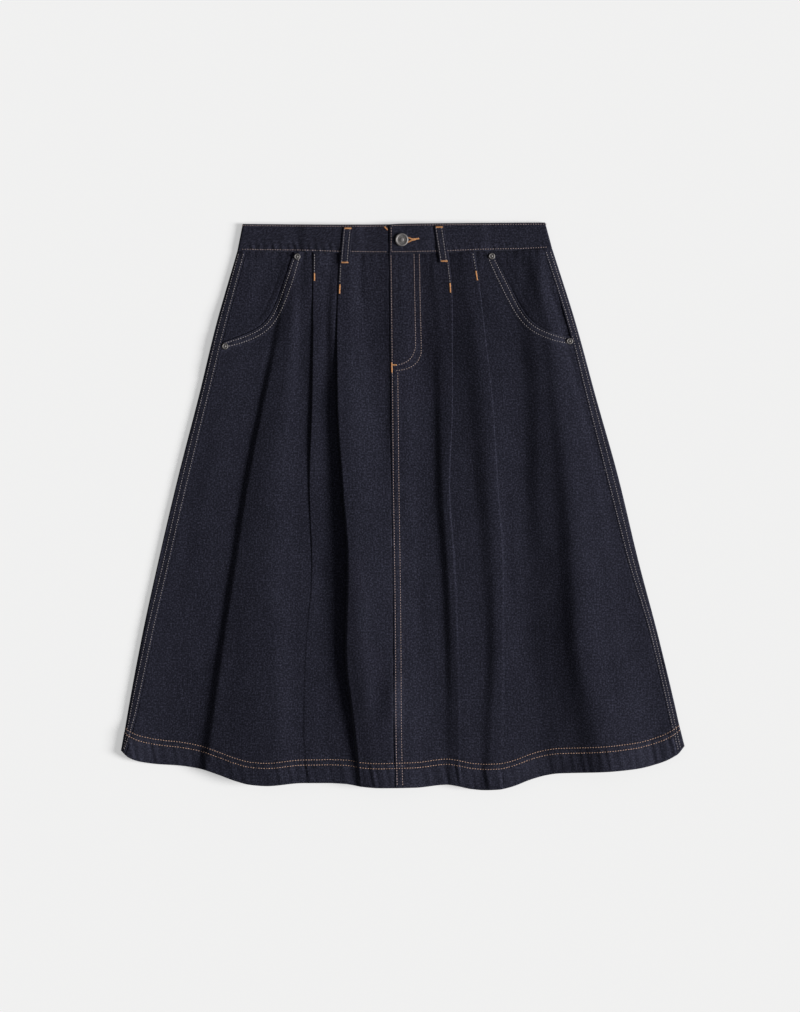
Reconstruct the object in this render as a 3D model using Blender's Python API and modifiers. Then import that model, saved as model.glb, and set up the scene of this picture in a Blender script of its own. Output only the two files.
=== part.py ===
"""A-line denim skirt with four front tucks, laid flat on its back.

Metres, +Z up.  The sizes below are in millimetres.  The skirt lies with its front up and its
waist towards +Y, so the wearer's right side is at -X.  The origin is under the middle of the
whole skirt, on the surface that it lies on.
"""

from collections import namedtuple
from math import cos, pi, radians, sin

import bmesh
import bpy
import numpy as np
from mathutils import Matrix, Vector

MM = 0.001

# Cloth
WALL = 1.0              # denim
GAP = 0.3               # between pieces that lie on each other or meet at a seam
LAYER = WALL + GAP      # from one layer's middle to the next
BACK_MID = WALL / 2
FRONT_MID = BACK_MID + LAYER

# Lengths down the front, from the waist seam to the hem
LENGTH = 640.0
DROPS = (0, 90, 180, 280, 380, 480, 570, 640)
FRONT_ROWS = (0, 12, 25, 38, 52, 70, 90, 112, 136, 162, 195, 232, 272, 314, 356, 398, 440, 482,
              524, 564, 598, 622, 640)
BACK_ROWS = (0, 25, 52, 70, 90, 112, 136, 162, 232, 314, 398, 482, 564, 640)
POCKET_ROWS = 10        # rows of the front that the pocket facing reaches down

# Side seams: the back wraps round the fold and laps onto the front
STRIP_WIDTH = {"right": (10.4, 12.2, 12.3, 13.9, 14.4, 13.4, 11.2, 4.6),  # at DROPS
               "left": (10.6, 10.5, 12.3, 14.8, 13.3, 9.8, 10, 9)}
SEAM_TUCK = 3.0         # from the outer fold to the front's edge under that strip
STRIP_FLAT = 16.0       # the relief starts this far inside the outer fold

# Centre front: the wearer's left front laps over the right one
LAP = 12.0
LAP_SOFT = 22.0         # past the lap the upper front comes down over this much
LAP_MARGIN = 2.0
FLY_WIDTH = 34.0
FLY_SOFT = 8.0
FLY_DROP = 123.0
FLY_END_SOFT = 14.0
FLY_RISE = 1.0

# Waistband
BAND_WALL = 2.0
BAND_PITCH = BAND_WALL + GAP
BAND_BACK_MID = BAND_WALL / 2
BAND_FRONT_MID = BAND_BACK_MID + BAND_PITCH
BAND_UNDERLAP_END = 24.0
BAND_LAP_END = -16.0
BAND_LAP_SOFT = 30.0
WAIST_RISE = BAND_FRONT_MID - FRONT_MID     # the front climbs into the waistband
WAIST_RISE_DROP = 16.0

# Belt loops
LOOP_WIDTH = 11.4
LOOP_WALL = 1.2
LOOP_ARCH = 1.3
LOOP_ARCH_SHAPE = 0.6   # below 1 the loop rises steeply at its ends and is flat between
LOOP_CLEAR = 3.0        # it keeps clear of what rises this near to it

# Pockets
POCKET_UNDERLAP = 12.0
POCKET_FLAT = 26.0      # the front keeps clear of the facing this far from the mouth
POCKET_FADE = 50.0

# Fasteners
BUTTON_PLACE = (-1.0, 319.0)
SHANK_RADIUS = 2.2
BUTTONHOLE_RADIUS = 2.8
RIVET_RADIUS = 3.9

# How finely the pieces are divided
STRIP_STEPS = 2
FOLD_STEPS = 6
BACK_STEPS = 12
BAND_LAP_POINTS = 16
BAND_BACK_POINTS = 10
BAND_UNDERLAP_POINTS = 20
LOOP_STEPS = 10
LOOP_LOOKS = 9          # places across a loop where it looks at what it lies on
TURN_STEPS = 3
MOUTH_STEPS = 14
BUTTON_STEPS = 28
RIVET_STEPS = 16
HOLE_STEPS = 16

Ring = namedtuple("Ring", "radius height")
Point = namedtuple("Point", "x y")
Line = namedtuple("Line", "x height")
TuckRow = namedtuple("TuckRow", "drop edge radius turn middle reach")
WaistSpot = namedtuple("WaistSpot", "x reach sunk bulge")
Stretch = namedtuple("Stretch", "line columns")
Panel = namedtuple("Panel", "side toward tucks stretches")
Pocket = namedtuple("Pocket", "side start leave arrive end")
Loop = namedtuple("Loop", "name top bottom")

# Waist seam, top edge of the waistband and hem edge of the front, from the right side (-X)
WAIST_LINE = (Point(-198, 306.5), Point(-122, 305.5), Point(-69, 304), Point(-15, 303.5),
              Point(45, 304.5), Point(93, 306.5), Point(141, 307.5), Point(180, 309.5))
BAND_TOP = (Point(-192, 338.8), Point(-75, 338), Point(-16, 338.3), Point(-3, 339),
            Point(46, 339.6), Point(171, 340.5))
HEM_LINE = (Point(-338, -293), Point(-329, -301.5), Point(-315, -306.5), Point(-293, -309.5),
            Point(-269, -311), Point(-243, -315), Point(-221, -322), Point(-202, -329),
            Point(-183, -334), Point(-163, -335.5), Point(-120, -332), Point(-91, -332),
            Point(-69, -333), Point(-48, -336.5), Point(-27, -338), Point(15, -337.5),
            Point(53, -334), Point(67, -336), Point(81, -339), Point(98, -340.5),
            Point(114, -340), Point(129, -337), Point(156, -327), Point(173, -322.5),
            Point(187, -320.5), Point(237, -319), Point(278, -315.5), Point(309, -308),
            Point(330, -297.5), Point(338, -288))
BACK_HEM_SIDE = -290.0
BACK_HEM_SAG = 40.0

# Lines down the front, each with its x and its height over the flat cloth at DROPS
LINES = {
    "right_side": Line((-198.5, -223.8, -244.8, -269.3, -291.8, -312.4, -327.9, -338), (0,) * 8),
    "right_puff": Line((-168, -185, -205, -228, -247, -264, -278, -291),
                       (0, 0.6, 1.2, 1.8, 1.8, 1.4, 1.4, 1.6)),
    "right_valley": Line((-141, -154.5, -172.5, -192, -207.5, -222.5, -235.5, -246),
                         (0, 0.5, 0.6, 1, 1.2, 1.4, 2.4, 3.2)),
    "right_brow": Line((-136, -146.5, -165, -184.5, -199, -213.5, -225, -234),
                       (0, 2.8, 3.9, 4.8, 5.2, 5.6, 7, 8)),
    "right_crest": Line((-131, -134, -145, -160, -164, -157, -155, -154),
                        (0, 4, 5.2, 7.2, 8, 8.8, 11.4, 13.4)),
    "tuck_valley": Line((-119, -122, -122, -122, -125, -127, -125, -116),
                        (0, 1.2, 2, 3, 4, 5.2, 8.4, 10)),
    "between_tucks": Line((-90, -92, -92, -91, -89, -89, -82, -77),
                          (0, 0.6, 1.2, 2, 2.6, 4.6, 7, 8.4)),
    "right_foot": Line((-81, -83.5, -80, -72, -64, -66, -56, -49),
                       (0, 2.8, 3.6, 4.2, 4.6, 5.6, 7.6, 8.6)),
    "centre_valley": Line((-38, -28, -28, -23, -20, -29, -32, -32),
                          (0, 1.6, 3.4, 4.2, 5, 8.2, 10.7, 11.2)),
    "centre_ridge": Line((-12, -11, -10, -9, -7, -8, -14, -12),
                         (0, 2.2, 3.3, 3.6, 4.4, 8.9, 12.6, 12.8)),
    "fly_valley": Line((31, 34, 37, 39, 46, 50, 51, 52), (0, 0.2, 0.4, 1, 1.4, 3.6, 5.8, 6.2)),
    "fly_step": Line((40, 44, 46.5, 48.5, 55.5, 59, 60, 61), (0, 0.4, 2.2, 3.5, 4.1, 6, 7, 7.2)),
    "inner_foot": Line((54, 59, 59, 57, 63, 67, 70, 70), (0, 0.8, 2.4, 3.6, 4.2, 6.8, 8, 8)),
    "left_dip": Line((70, 74, 76, 84, 92, 97, 94, 92), (0, 1.5, 2.9, 3.4, 3.6, 5.1, 6.9, 7.3)),
    "left_ridge": Line((79, 89, 98, 103, 108, 113, 107, 104),
                       (0, 2.7, 5.2, 5.8, 5.8, 7.4, 8.4, 9.2)),
    "left_valley": Line((120, 136, 144, 146, 148, 152, 162, 166),
                        (0, 1, 1.4, 1.6, 1.8, 3, 5, 5.2)),
    "left_step": Line((134, 157, 165, 163, 172, 176, 186, 190),
                      (0, 3.9, 5, 4.8, 4.6, 5.4, 7, 7.4)),
    "left_foot": Line((142, 164, 173, 180, 186, 191, 203, 214),
                      (0, 4.2, 5.4, 6.2, 6.8, 8.2, 9.5, 9.5)),
    "left_crest": Line((150, 173, 184, 196.5, 205.5, 211, 230, 246),
                       (0, 4.6, 6.4, 9, 11.8, 14.5, 15, 14)),
    "left_flank": Line((158, 184, 204, 225, 240, 248, 268, 280),
                       (0, 2.4, 3, 3.8, 5, 7.4, 8.6, 8.2)),
    "left_side": Line((179.5, 207.4, 231.5, 258.8, 281.9, 306.4, 325.6, 338.3), (0,) * 8),
}
CENTRE_FRONT = (-16, -15, -14, -13, -11.5, -10.5, -10, -8.5)    # the lap's edge, at DROPS

# Tucks: where the visible fold lies, how round and how far it turns, how much cloth lies flat
# between its two turns, and how far its lift reaches towards the centre front
TUCKS = {
    "right_outer": (TuckRow(0, -107, 0.65, 180, 5, 26), TuckRow(38, -107, 0.65, 180, 5, 30),
                    TuckRow(90, -107, 0.65, 176, 4, 36), TuckRow(180, -108, 0.65, 160, 1, 40),
                    TuckRow(280, -111, 0.8, 60, 0.8, 32), TuckRow(380, -108, 1.1, 30, 0.8, 26),
                    TuckRow(480, -115, 2.0, 12, 1.2, 22), TuckRow(570, -117, 4.0, 12, 1.8, 24),
                    TuckRow(640, -112, 5.0, 8, 2, 24)),
    "right_inner": (TuckRow(0, -75, 0.65, 180, 11, 26), TuckRow(52, -77, 0.65, 180, 11, 30),
                    TuckRow(90, -78, 0.7, 178, 8, 40), TuckRow(180, -77, 1.2, 160, 6, 48),
                    TuckRow(280, -70.5, 1.5, 145, 4, 60), TuckRow(380, -64, 2.1, 125, 2.2, 76),
                    TuckRow(480, -66, 2.3, 110, 2.2, 76), TuckRow(570, -56, 2.4, 85, 1.6, 60),
                    TuckRow(640, -49, 2.0, 60, 1.2, 50)),
    "left_inner": (TuckRow(0, 54, 0.65, 180, 11, 50), TuckRow(52, 58.5, 0.65, 180, 11, 50),
                   TuckRow(90, 59, 0.65, 176, 6, 44), TuckRow(180, 59, 0.65, 115, 0.5, 32),
                   TuckRow(280, 55, 1.0, 60, 0.8, 20), TuckRow(380, 61, 2.0, 30, 1.2, 20),
                   TuckRow(480, 65, 2.2, 15, 1.6, 20), TuckRow(570, 67, 2.4, 10, 2, 22),
                   TuckRow(640, 67, 2.4, 8, 2, 22)),
    "left_outer": (TuckRow(0, 85, 0.65, 180, 11, 44), TuckRow(38, 91, 0.65, 180, 11, 50),
                   TuckRow(90, 97, 0.65, 172, 5, 52), TuckRow(180, 107, 0.65, 115, 0.5, 44),
                   TuckRow(280, 113, 1.0, 55, 0.8, 30), TuckRow(380, 119, 2.5, 22, 1.4, 18),
                   TuckRow(480, 119, 4.0, 12, 1.8, 18), TuckRow(570, 118, 5.0, 8, 2, 20),
                   TuckRow(640, 116, 5.0, 8, 2, 20)),
}

# Places along the waist seam where more layers meet: the front sinks, the band bulges
WAIST_SPOTS = (WaistSpot(-133, 18, 1.3, 0.0), WaistSpot(-86, 30, 0.8, 1.3),
               WaistSpot(64, 30, 0.8, 1.3), WaistSpot(111, 18, 1.3, 0.0))
SPOT_SOFT = 12.0

PANELS = {
    "front_panel_right": Panel("right", 1, ("right_outer", "right_inner"), (
        (Stretch("right_strip", 1), Stretch("right_puff", 2), Stretch("right_valley", 2),
         Stretch("right_brow", 2), Stretch("right_crest", 2), Stretch("tuck_valley", 2),
         Stretch("end", 2)),
        (Stretch("flat", 1), Stretch("between_tucks", 2), Stretch("end", 2)),
        (Stretch("flat", 1), Stretch("centre_valley", 4), Stretch("centre_ridge", 2),
         Stretch("end", 2)))),
    "front_panel_left": Panel("left", -1, ("left_outer", "left_inner"), (
        (Stretch("left_strip", 1), Stretch("left_flank", 3), Stretch("left_crest", 2),
         Stretch("left_foot", 2), Stretch("left_step", 1), Stretch("left_valley", 2),
         Stretch("end", 2)),
        (Stretch("flat", 1), Stretch("left_dip", 3), Stretch("end", 2)),
        (Stretch("flat", 1), Stretch("fly_step", 1), Stretch("fly_valley", 2),
         Stretch("end", 4)))),
}
POCKET_COLUMNS = {"right": 10, "left": 12}     # columns of the front that the facing takes

# Pocket mouths: a Bezier curve from the waist seam to the side seam
POCKETS = {
    "right": Pocket("right", Point(-129.2, 307), Point(-163, 211.3), Point(-155.2, 218.8),
                    Point(-220, 194.7)),
    "left": Pocket("left", Point(106.6, 307), Point(153.1, 221.4), Point(138.9, 219),
                   Point(210, 198.3)),
}
MOUTH_RUN_OUT = 45.0
CUTTER_TOP = 60.0

LOOPS = (Loop("belt_loop_right", Point(-65.5, 335.5), Point(-69.5, 290.4)),
         Loop("belt_loop_left", Point(44, 335.5), Point(50.5, 290.9)))

RIVETS = {"rivet_right_upper": Point(-126.5, 299.5), "rivet_left_upper": Point(107, 300),
          "rivet_right_lower": Point(-213, 192), "rivet_left_lower": Point(199, 197)}

# Turned profiles from the middle of the top to the rim, heights over the cloth
BUTTON_HEAD = (Ring(0, 1.9), Ring(5.15, 1.9), Ring(6.15, 2.6), Ring(7.5, 2.5), Ring(8.3, 1.6),
               Ring(8.3, 0.6), Ring(7.5, 0))
RIVET_HEAD = (Ring(0, 1.7), Ring(1.2, 1.5), Ring(1.6, 0.7), Ring(2.4, 0.7), Ring(3.1, 1.3),
              Ring(RIVET_RADIUS, 0.5), Ring(RIVET_RADIUS, 0))

DENIM = ("denim", (0.019, 0.020, 0.029), 0.85, 0.0)
DENIM_BACK = ("denim_back", (0.017, 0.018, 0.026), 0.85, 0.0)
METAL = ("aged_metal", (0.21, 0.19, 0.17), 0.42, 0.9)


# ---------------------------------------------------------------------------------------------
# Curves

def smooth_curve(knots, values, where):
    """A curve through the knots that never overshoots them (monotone cubic)."""
    knots = np.asarray(knots, float)
    values = np.asarray(values, float)
    step = np.diff(knots)
    slope = np.diff(values) / step
    tangent = np.empty(len(knots))
    tangent[0], tangent[-1] = slope[0], slope[-1]
    before, after = slope[:-1], slope[1:]
    same = before * after > 0
    sums = np.where(same, before + after, 1.0)
    tangent[1:-1] = np.where(same, 2 * before * after / sums, 0.0)
    where = np.clip(where, knots[0], knots[-1])
    cell = np.clip(np.searchsorted(knots, where, side="right") - 1, 0, len(step) - 1)
    u = (where - knots[cell]) / step[cell]
    return ((2 * u**3 - 3 * u**2 + 1) * values[cell] + (u**3 - 2 * u**2 + u) * step[cell]
            * tangent[cell] + (3 * u**2 - 2 * u**3) * values[cell + 1]
            + (u**3 - u**2) * step[cell] * tangent[cell + 1])


def soft_step(value):
    """0 below 0, 1 above 1, smooth between."""
    value = np.clip(value, 0.0, 1.0)
    return value * value * (3 - 2 * value)


def along(points, x):
    """The y of a line of points at x."""
    return float(smooth_curve([p.x for p in points], [p.y for p in points], x))


def waist_y(x):
    """Top edge of the panels, just under the waistband."""
    return along(WAIST_LINE, x) - GAP


def hem_y(x):
    """Lower edge of the front."""
    return along(HEM_LINE, x)


def back_hem_y(x):
    """Lower edge of the back, an even curve that stays behind the front."""
    half = LINES["left_side"].x[-1]
    return BACK_HEM_SIDE - BACK_HEM_SAG * (1 - (x / half) ** 2)


def bezier(pocket, steps):
    """The mouth of a pocket as points."""
    shares = np.linspace(0, 1, steps + 1)
    weights = ((1 - shares) ** 3, 3 * shares * (1 - shares) ** 2, 3 * shares**2 * (1 - shares),
               shares**3)
    corners = (pocket.start, pocket.leave, pocket.arrive, pocket.end)
    return sum(w[:, None] * np.array(c)[None, :] for w, c in zip(weights, corners))


MOUTHS = {side: bezier(pocket, MOUTH_STEPS * 4) for side, pocket in POCKETS.items()}


# ---------------------------------------------------------------------------------------------
# The front, one level at a time

class Tuck:
    """A tuck where it crosses one level."""

    def __init__(self, name, drop, toward):
        rows = TUCKS[name]
        drops = [row.drop for row in rows]
        self.toward = toward
        self.edge, self.radius, turn, self.middle, self.reach = (
            float(smooth_curve(drops, [getattr(row, column) for row in rows], drop))
            for column in ("edge", "radius", "turn", "middle", "reach"))
        self.turn = radians(turn)
        self.overlap = -(2 * self.radius * sin(self.turn) + self.middle * cos(self.turn))
        self.height = (2 * self.radius * (1 - cos(self.turn)) + self.middle * sin(self.turn))
        self.start = self.edge + toward * self.overlap
        self.flat = max(self.overlap, 0) + 2 * self.radius + GAP

    def lift(self, x):
        """How much the layer over the tuck is raised at x."""
        inward = (x - self.edge) * self.toward
        return self.height * (1 - soft_step((inward - self.flat) / (self.reach - self.flat)))

    def path(self):
        """Points (x, rise) through the tuck, from the layer below it to the layer above."""
        points = []
        for step in range(1, TURN_STEPS + 1):
            angle = self.turn * step / TURN_STEPS
            points.append((self.start + self.toward * self.radius * sin(angle),
                           self.radius * (1 - cos(angle))))
        x, rise = points[-1]
        x += self.toward * self.middle * cos(self.turn)
        rise += self.middle * sin(self.turn)
        for step in range(TURN_STEPS + 1):
            angle = self.turn * (1 - step / TURN_STEPS)
            points.append((x + self.toward * self.radius * (sin(self.turn) - sin(angle)),
                           rise + self.radius * (cos(angle) - cos(self.turn))))
        return points


class Level:
    """The front at one drop below the waist seam."""

    def __init__(self, drop):
        self.drop = drop
        self.share = drop / LENGTH
        self.line = {name: float(smooth_curve(DROPS, line.x, drop))
                     for name, line in LINES.items()}
        self.line["right_strip"] = self.line["right_side"] + STRIP_FLAT
        self.line["left_strip"] = self.line["left_side"] - STRIP_FLAT
        self.centre = float(smooth_curve(DROPS, CENTRE_FRONT, drop))
        heights = {name: float(smooth_curve(DROPS, line.height, drop))
                   for name, line in LINES.items()}
        heights.update(right_strip=0.0, left_strip=0.0)
        order = sorted(self.line, key=self.line.get)
        self.knots = [self.line[name] for name in order]
        self.heights = [heights[name] for name in order]
        self.tucks = {name: Tuck(name, drop, panel.toward)
                      for panel in PANELS.values() for name in panel.tucks}

    def y(self, x):
        """Where this level lies at x."""
        top = waist_y(x)
        return top + (hem_y(x) - top) * self.share

    def waist_rise(self, x):
        """How much the front climbs into the waistband."""
        inside = min(x - self.line["right_side"], self.line["left_side"] - x)
        rise = WAIST_RISE * soft_step((inside - STRIP_FLAT) / STRIP_FLAT)
        for spot in WAIST_SPOTS:
            rise -= spot.sunk * soft_step((spot.reach + SPOT_SOFT - abs(x - spot.x)) / SPOT_SOFT)
        return max(rise, 0.0) * (1 - soft_step(self.drop / WAIST_RISE_DROP))

    def ground(self, x):
        """Middle of the cloth at x before any lap, tuck or pocket lifts it."""
        relief = float(smooth_curve(self.knots, self.heights, x))
        return FRONT_MID + relief + self.waist_rise(x)

    def mouth_lift(self, x):
        """The front lies over the pocket facing along the mouth."""
        place = np.array((x, self.y(x)))
        nearest = min(float(np.hypot(*(mouth - place).T).min()) for mouth in MOUTHS.values())
        return LAYER * (1 - soft_step((nearest - POCKET_FLAT) / (POCKET_FADE - POCKET_FLAT)))

    def lap_lift(self, x):
        """The left front lies over the right one, and over its own fly facing."""
        past = x - self.centre
        lap = LAYER * (1 - soft_step((past - LAP - LAP_MARGIN) / LAP_SOFT))
        fly = FLY_RISE * (1 - soft_step((past - FLY_WIDTH) / FLY_SOFT))
        return lap + fly * (1 - soft_step((self.drop - FLY_DROP) / FLY_END_SOFT))

    def top(self, x):
        """Middle of the uppermost layer of the front at x."""
        height = self.ground(x) + self.mouth_lift(x)
        if x >= self.centre:
            height += self.lap_lift(x)
        for tuck in self.tucks.values():
            if (x - tuck.edge) * tuck.toward >= 0:
                height += tuck.lift(x)
        return height


def spread(stretches, stops, start):
    """x of each column from start on, with a column on each named stop."""
    places = []
    here = start
    for stretch in stretches:
        there = stops[stretch.line]
        places += [here + (there - here) * (k + 1) / stretch.columns
                   for k in range(stretch.columns)]
        here = there
    return places


def front_row(panel, drop, with_lifts=True):
    """Points across one front panel at a drop, from its side seam to the centre front."""
    level = Level(drop)
    toward = panel.toward
    tucks = [level.tucks[name] for name in panel.tucks]
    others = [tuck for name, tuck in level.tucks.items() if name not in panel.tucks]
    side = level.line[panel.side + "_side"] + toward * SEAM_TUCK
    centre = level.centre + (LAP if toward > 0 else 0)
    ends = [tuck.start for tuck in tucks] + [centre]
    starts = [side] + [tuck.edge for tuck in tucks]
    columns = [(side, 0.0, 0)]
    for passed, stretches in enumerate(panel.stretches):
        stops = dict(level.line, end=ends[passed])
        if passed:
            stops["flat"] = starts[passed] + toward * tucks[passed - 1].flat
        columns += [(x, 0.0, passed) for x in spread(stretches, stops, starts[passed])]
        if passed < len(tucks):
            columns += [(x, rise, passed) for x, rise in tucks[passed].path()]
    row = []
    for x, rise, passed in columns:
        z = level.ground(x) + rise + sum(tuck.lift(x) for tuck in tucks[:passed])
        z += sum(tuck.lift(x) for tuck in others if (x - tuck.edge) * tuck.toward > 0)
        if with_lifts:
            z += level.mouth_lift(x)
            if toward < 0:
                z += level.lap_lift(x)
        row.append(Vector((x, level.y(x), z)))
    return row


# ---------------------------------------------------------------------------------------------
# Blender helpers

def clear_scene():
    """Start from an empty scene."""
    for thing in list(bpy.data.objects):
        bpy.data.objects.remove(thing)
    for group in list(bpy.data.collections):
        bpy.data.collections.remove(group)


def new_collection(name):
    """A collection linked to the scene."""
    group = bpy.data.collections.new(name)
    bpy.context.scene.collection.children.link(group)
    return group


def material(spec):
    """A Principled material, made once for each finish."""
    name, colour, roughness, metallic = spec
    made = bpy.data.materials.get(name)
    if made is None:
        made = bpy.data.materials.new(name)
        made.use_nodes = True
        shader = made.node_tree.nodes["Principled BSDF"]
        shader.inputs["Base Color"].default_value = (*colour, 1.0)
        shader.inputs["Roughness"].default_value = roughness
        shader.inputs["Metallic"].default_value = metallic
    return made


def add_object(name, mesh, group, spec=None):
    """Link a mesh as an object, in metres."""
    mesh.transform(Matrix.Scale(MM, 4))
    thing = bpy.data.objects.new(name, mesh)
    group.objects.link(thing)
    if spec is not None:
        mesh.materials.append(material(spec))
    return thing


def cloth(name, rows, group, spec, wall=WALL):
    """A sheet of cloth through rows of points, with its wall laid half to each side."""
    mesh = bpy.data.meshes.new(name)
    sheet = bmesh.new()
    bmesh.ops.create_grid(sheet, x_segments=len(rows[0]) - 1, y_segments=len(rows) - 1, size=1)
    for vertex, place in zip(sheet.verts, (point for row in rows for point in row)):
        vertex.co = place
    sheet.to_mesh(mesh)
    sheet.free()
    thing = add_object(name, mesh, group, spec)
    thicken = thing.modifiers.new("wall", "SOLIDIFY")
    thicken.thickness = wall * MM
    thicken.offset = 0.0
    thicken.use_even_offset = True
    thicken.use_quality_normals = True
    return thing


def prism(name, outline, group):
    """A cutter: a closed outline pulled up through the whole skirt."""
    curve = bpy.data.curves.new(name, "CURVE")
    curve.dimensions = "2D"
    curve.fill_mode = "BOTH"
    curve.extrude = CUTTER_TOP
    spline = curve.splines.new("POLY")
    spline.points.add(len(outline) - 1)
    for point, (x, y) in zip(spline.points, outline):
        point.co = (x, y, 0, 1)
    spline.use_cyclic_u = True
    source = bpy.data.objects.new(name + "_outline", curve)
    group.objects.link(source)
    bpy.context.view_layer.update()
    evaluated = source.evaluated_get(bpy.context.evaluated_depsgraph_get())
    mesh = bpy.data.meshes.new_from_object(evaluated)
    bpy.data.objects.remove(source)
    weld = bmesh.new()
    weld.from_mesh(mesh)
    bmesh.ops.remove_doubles(weld, verts=weld.verts, dist=0.0001)
    bmesh.ops.recalc_face_normals(weld, faces=weld.faces)
    weld.to_mesh(mesh)
    weld.free()
    cutter = add_object(name, mesh, group)
    cutter.hide_render = True
    cutter.display_type = "WIRE"
    return cutter


def cut(thing, cutter, operation="DIFFERENCE"):
    """Cut a piece with a cutter, or keep only what lies inside it."""
    boolean = thing.modifiers.new(cutter.name, "BOOLEAN")
    boolean.operation = operation
    boolean.object = cutter
    boolean.solver = "EXACT"


def smooth(thing, angle=35):
    """Shade a round piece smooth."""
    thing.data.shade_smooth()
    thing.data.set_sharp_from_angle(angle=radians(angle))


# ---------------------------------------------------------------------------------------------
# The pieces

def mouth_outline(side, inset):
    """The corner of the hip outside a pocket mouth moved inwards by inset."""
    mouth = bezier(POCKETS[side], MOUTH_STEPS)
    toward = 1 if side == "right" else -1
    travel = np.gradient(mouth, axis=0)
    travel /= np.hypot(*travel.T)[:, None]
    inward = np.column_stack((-travel[:, 1], travel[:, 0])) * toward
    moved = mouth + inward * inset
    out = moved[-1] + travel[-1] * MOUTH_RUN_OUT
    up = moved[0] - travel[0] * MOUTH_RUN_OUT
    corner = np.array((out[0], up[1]))
    return [up, *moved, out, corner]


def make_front(name, group, cutters):
    """One front panel with its two tucks, cut out along the pocket mouth."""
    panel = PANELS[name]
    front = cloth(name, [front_row(panel, drop) for drop in FRONT_ROWS], group, DENIM)
    mouth = prism("pocket_mouth_" + panel.side, mouth_outline(panel.side, 0.0), cutters)
    cut(front, mouth)
    smooth(front)


def make_facing(name, group, cutters):
    """The facing that shows inside a pocket mouth and runs on under the front."""
    panel = PANELS[name]
    columns = POCKET_COLUMNS[panel.side] + 1
    rows = [front_row(panel, drop, with_lifts=False)[:columns]
            for drop in FRONT_ROWS[:POCKET_ROWS]]
    facing = cloth("pocket_facing_" + panel.side, rows, group, DENIM)
    region = prism("pocket_facing_cut_" + panel.side,
                   mouth_outline(panel.side, POCKET_UNDERLAP), cutters)
    cut(facing, region, "INTERSECT")
    smooth(facing)


def strip_points(level, side, steps):
    """The back's lap over the front at one side, from its edge to the outer fold."""
    toward = 1 if side == "right" else -1
    outer = level.line[side + "_side"]
    width = float(smooth_curve(DROPS, STRIP_WIDTH[side], level.drop))
    points = []
    for step in range(steps + 1):
        x = outer + toward * (width + (SEAM_TUCK - width) * step / steps)
        points.append(Vector((x, level.y(x), FRONT_MID + LAYER + level.mouth_lift(x))))
    return points


def turn_points(level, side, top, steps):
    """The outer fold, from the lap down to the back."""
    toward = 1 if side == "right" else -1
    outer = level.line[side + "_side"]
    radius = (top.z - BACK_MID) / 2
    centre = outer + toward * (radius + WALL / 2)
    points = []
    for step in range(steps + 1):
        angle = pi * step / steps
        x = centre - toward * radius * sin(angle)
        points.append(Vector((x, level.y(x), BACK_MID + radius * (1 + cos(angle)))))
    return points


def make_back(group):
    """The back panel, flat underneath, turned up round both sides onto the front."""
    rows = []
    for drop in BACK_ROWS:
        level = Level(drop)
        sides = []
        for side in ("right", "left"):
            lap = strip_points(level, side, STRIP_STEPS)
            sides.append(lap + turn_points(level, side, lap[-1], FOLD_STEPS))
        start, end = sides[0][-1], sides[1][-1]
        flat = []
        for step in range(1, BACK_STEPS):
            x = start.x + (end.x - start.x) * step / BACK_STEPS
            top = waist_y(x)
            y = top + (back_hem_y(x) - top) * level.share
            flat.append(Vector((x, y, BACK_MID)))
        rows.append(sides[0] + flat + sides[1][::-1])
    smooth(cloth("back_panel", rows, group, DENIM_BACK))


def band_front_z(x, lapped):
    """Middle of the waistband's front at x."""
    bulge = max(spot.bulge * soft_step((spot.reach + SPOT_SOFT - abs(x - spot.x)) / SPOT_SOFT)
                for spot in WAIST_SPOTS)
    past = x - BAND_UNDERLAP_END - LAP_MARGIN
    lap = BAND_PITCH * (1 - soft_step(past / BAND_LAP_SOFT)) if lapped else 0.0
    return BAND_FRONT_MID + float(max(bulge, lap))


def band_side_x(side, share):
    """Outer fold of the waistband, share 0 at the waist seam and 1 at its top edge."""
    line = LINES[side + "_side"].x[0]
    top = BAND_TOP[0].x if side == "right" else BAND_TOP[-1].x
    return line + (top - line) * share


def band_row(share):
    """Points round the waistband at one height, from the lapped end to the underlap's end."""
    right, left = band_side_x("right", share), band_side_x("left", share)
    half = BAND_WALL / 2
    radius = BAND_PITCH / 2
    path = []
    outer_left = left - half - radius
    outer_right = right + half + radius
    turns = [pi * step / FOLD_STEPS for step in range(1, FOLD_STEPS)]
    for x in np.linspace(BAND_LAP_END, outer_left, BAND_LAP_POINTS):
        path.append((x, band_front_z(x, True)))
    for angle in turns:
        path.append((outer_left + radius * sin(angle), BAND_BACK_MID + radius * (1 + cos(angle))))
    for x in np.linspace(outer_left, outer_right, BAND_BACK_POINTS):
        path.append((x, BAND_BACK_MID))
    for angle in turns:
        path.append((outer_right - radius * sin(angle),
                     BAND_BACK_MID + radius * (1 - cos(angle))))
    for x in np.linspace(outer_right, BAND_UNDERLAP_END, BAND_UNDERLAP_POINTS):
        path.append((x, band_front_z(x, False)))
    row = []
    for x, z in path:
        seam, top = along(WAIST_LINE, x), along(BAND_TOP, x)
        row.append(Vector((x, seam + (top - seam) * share, z)))
    return row


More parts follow.
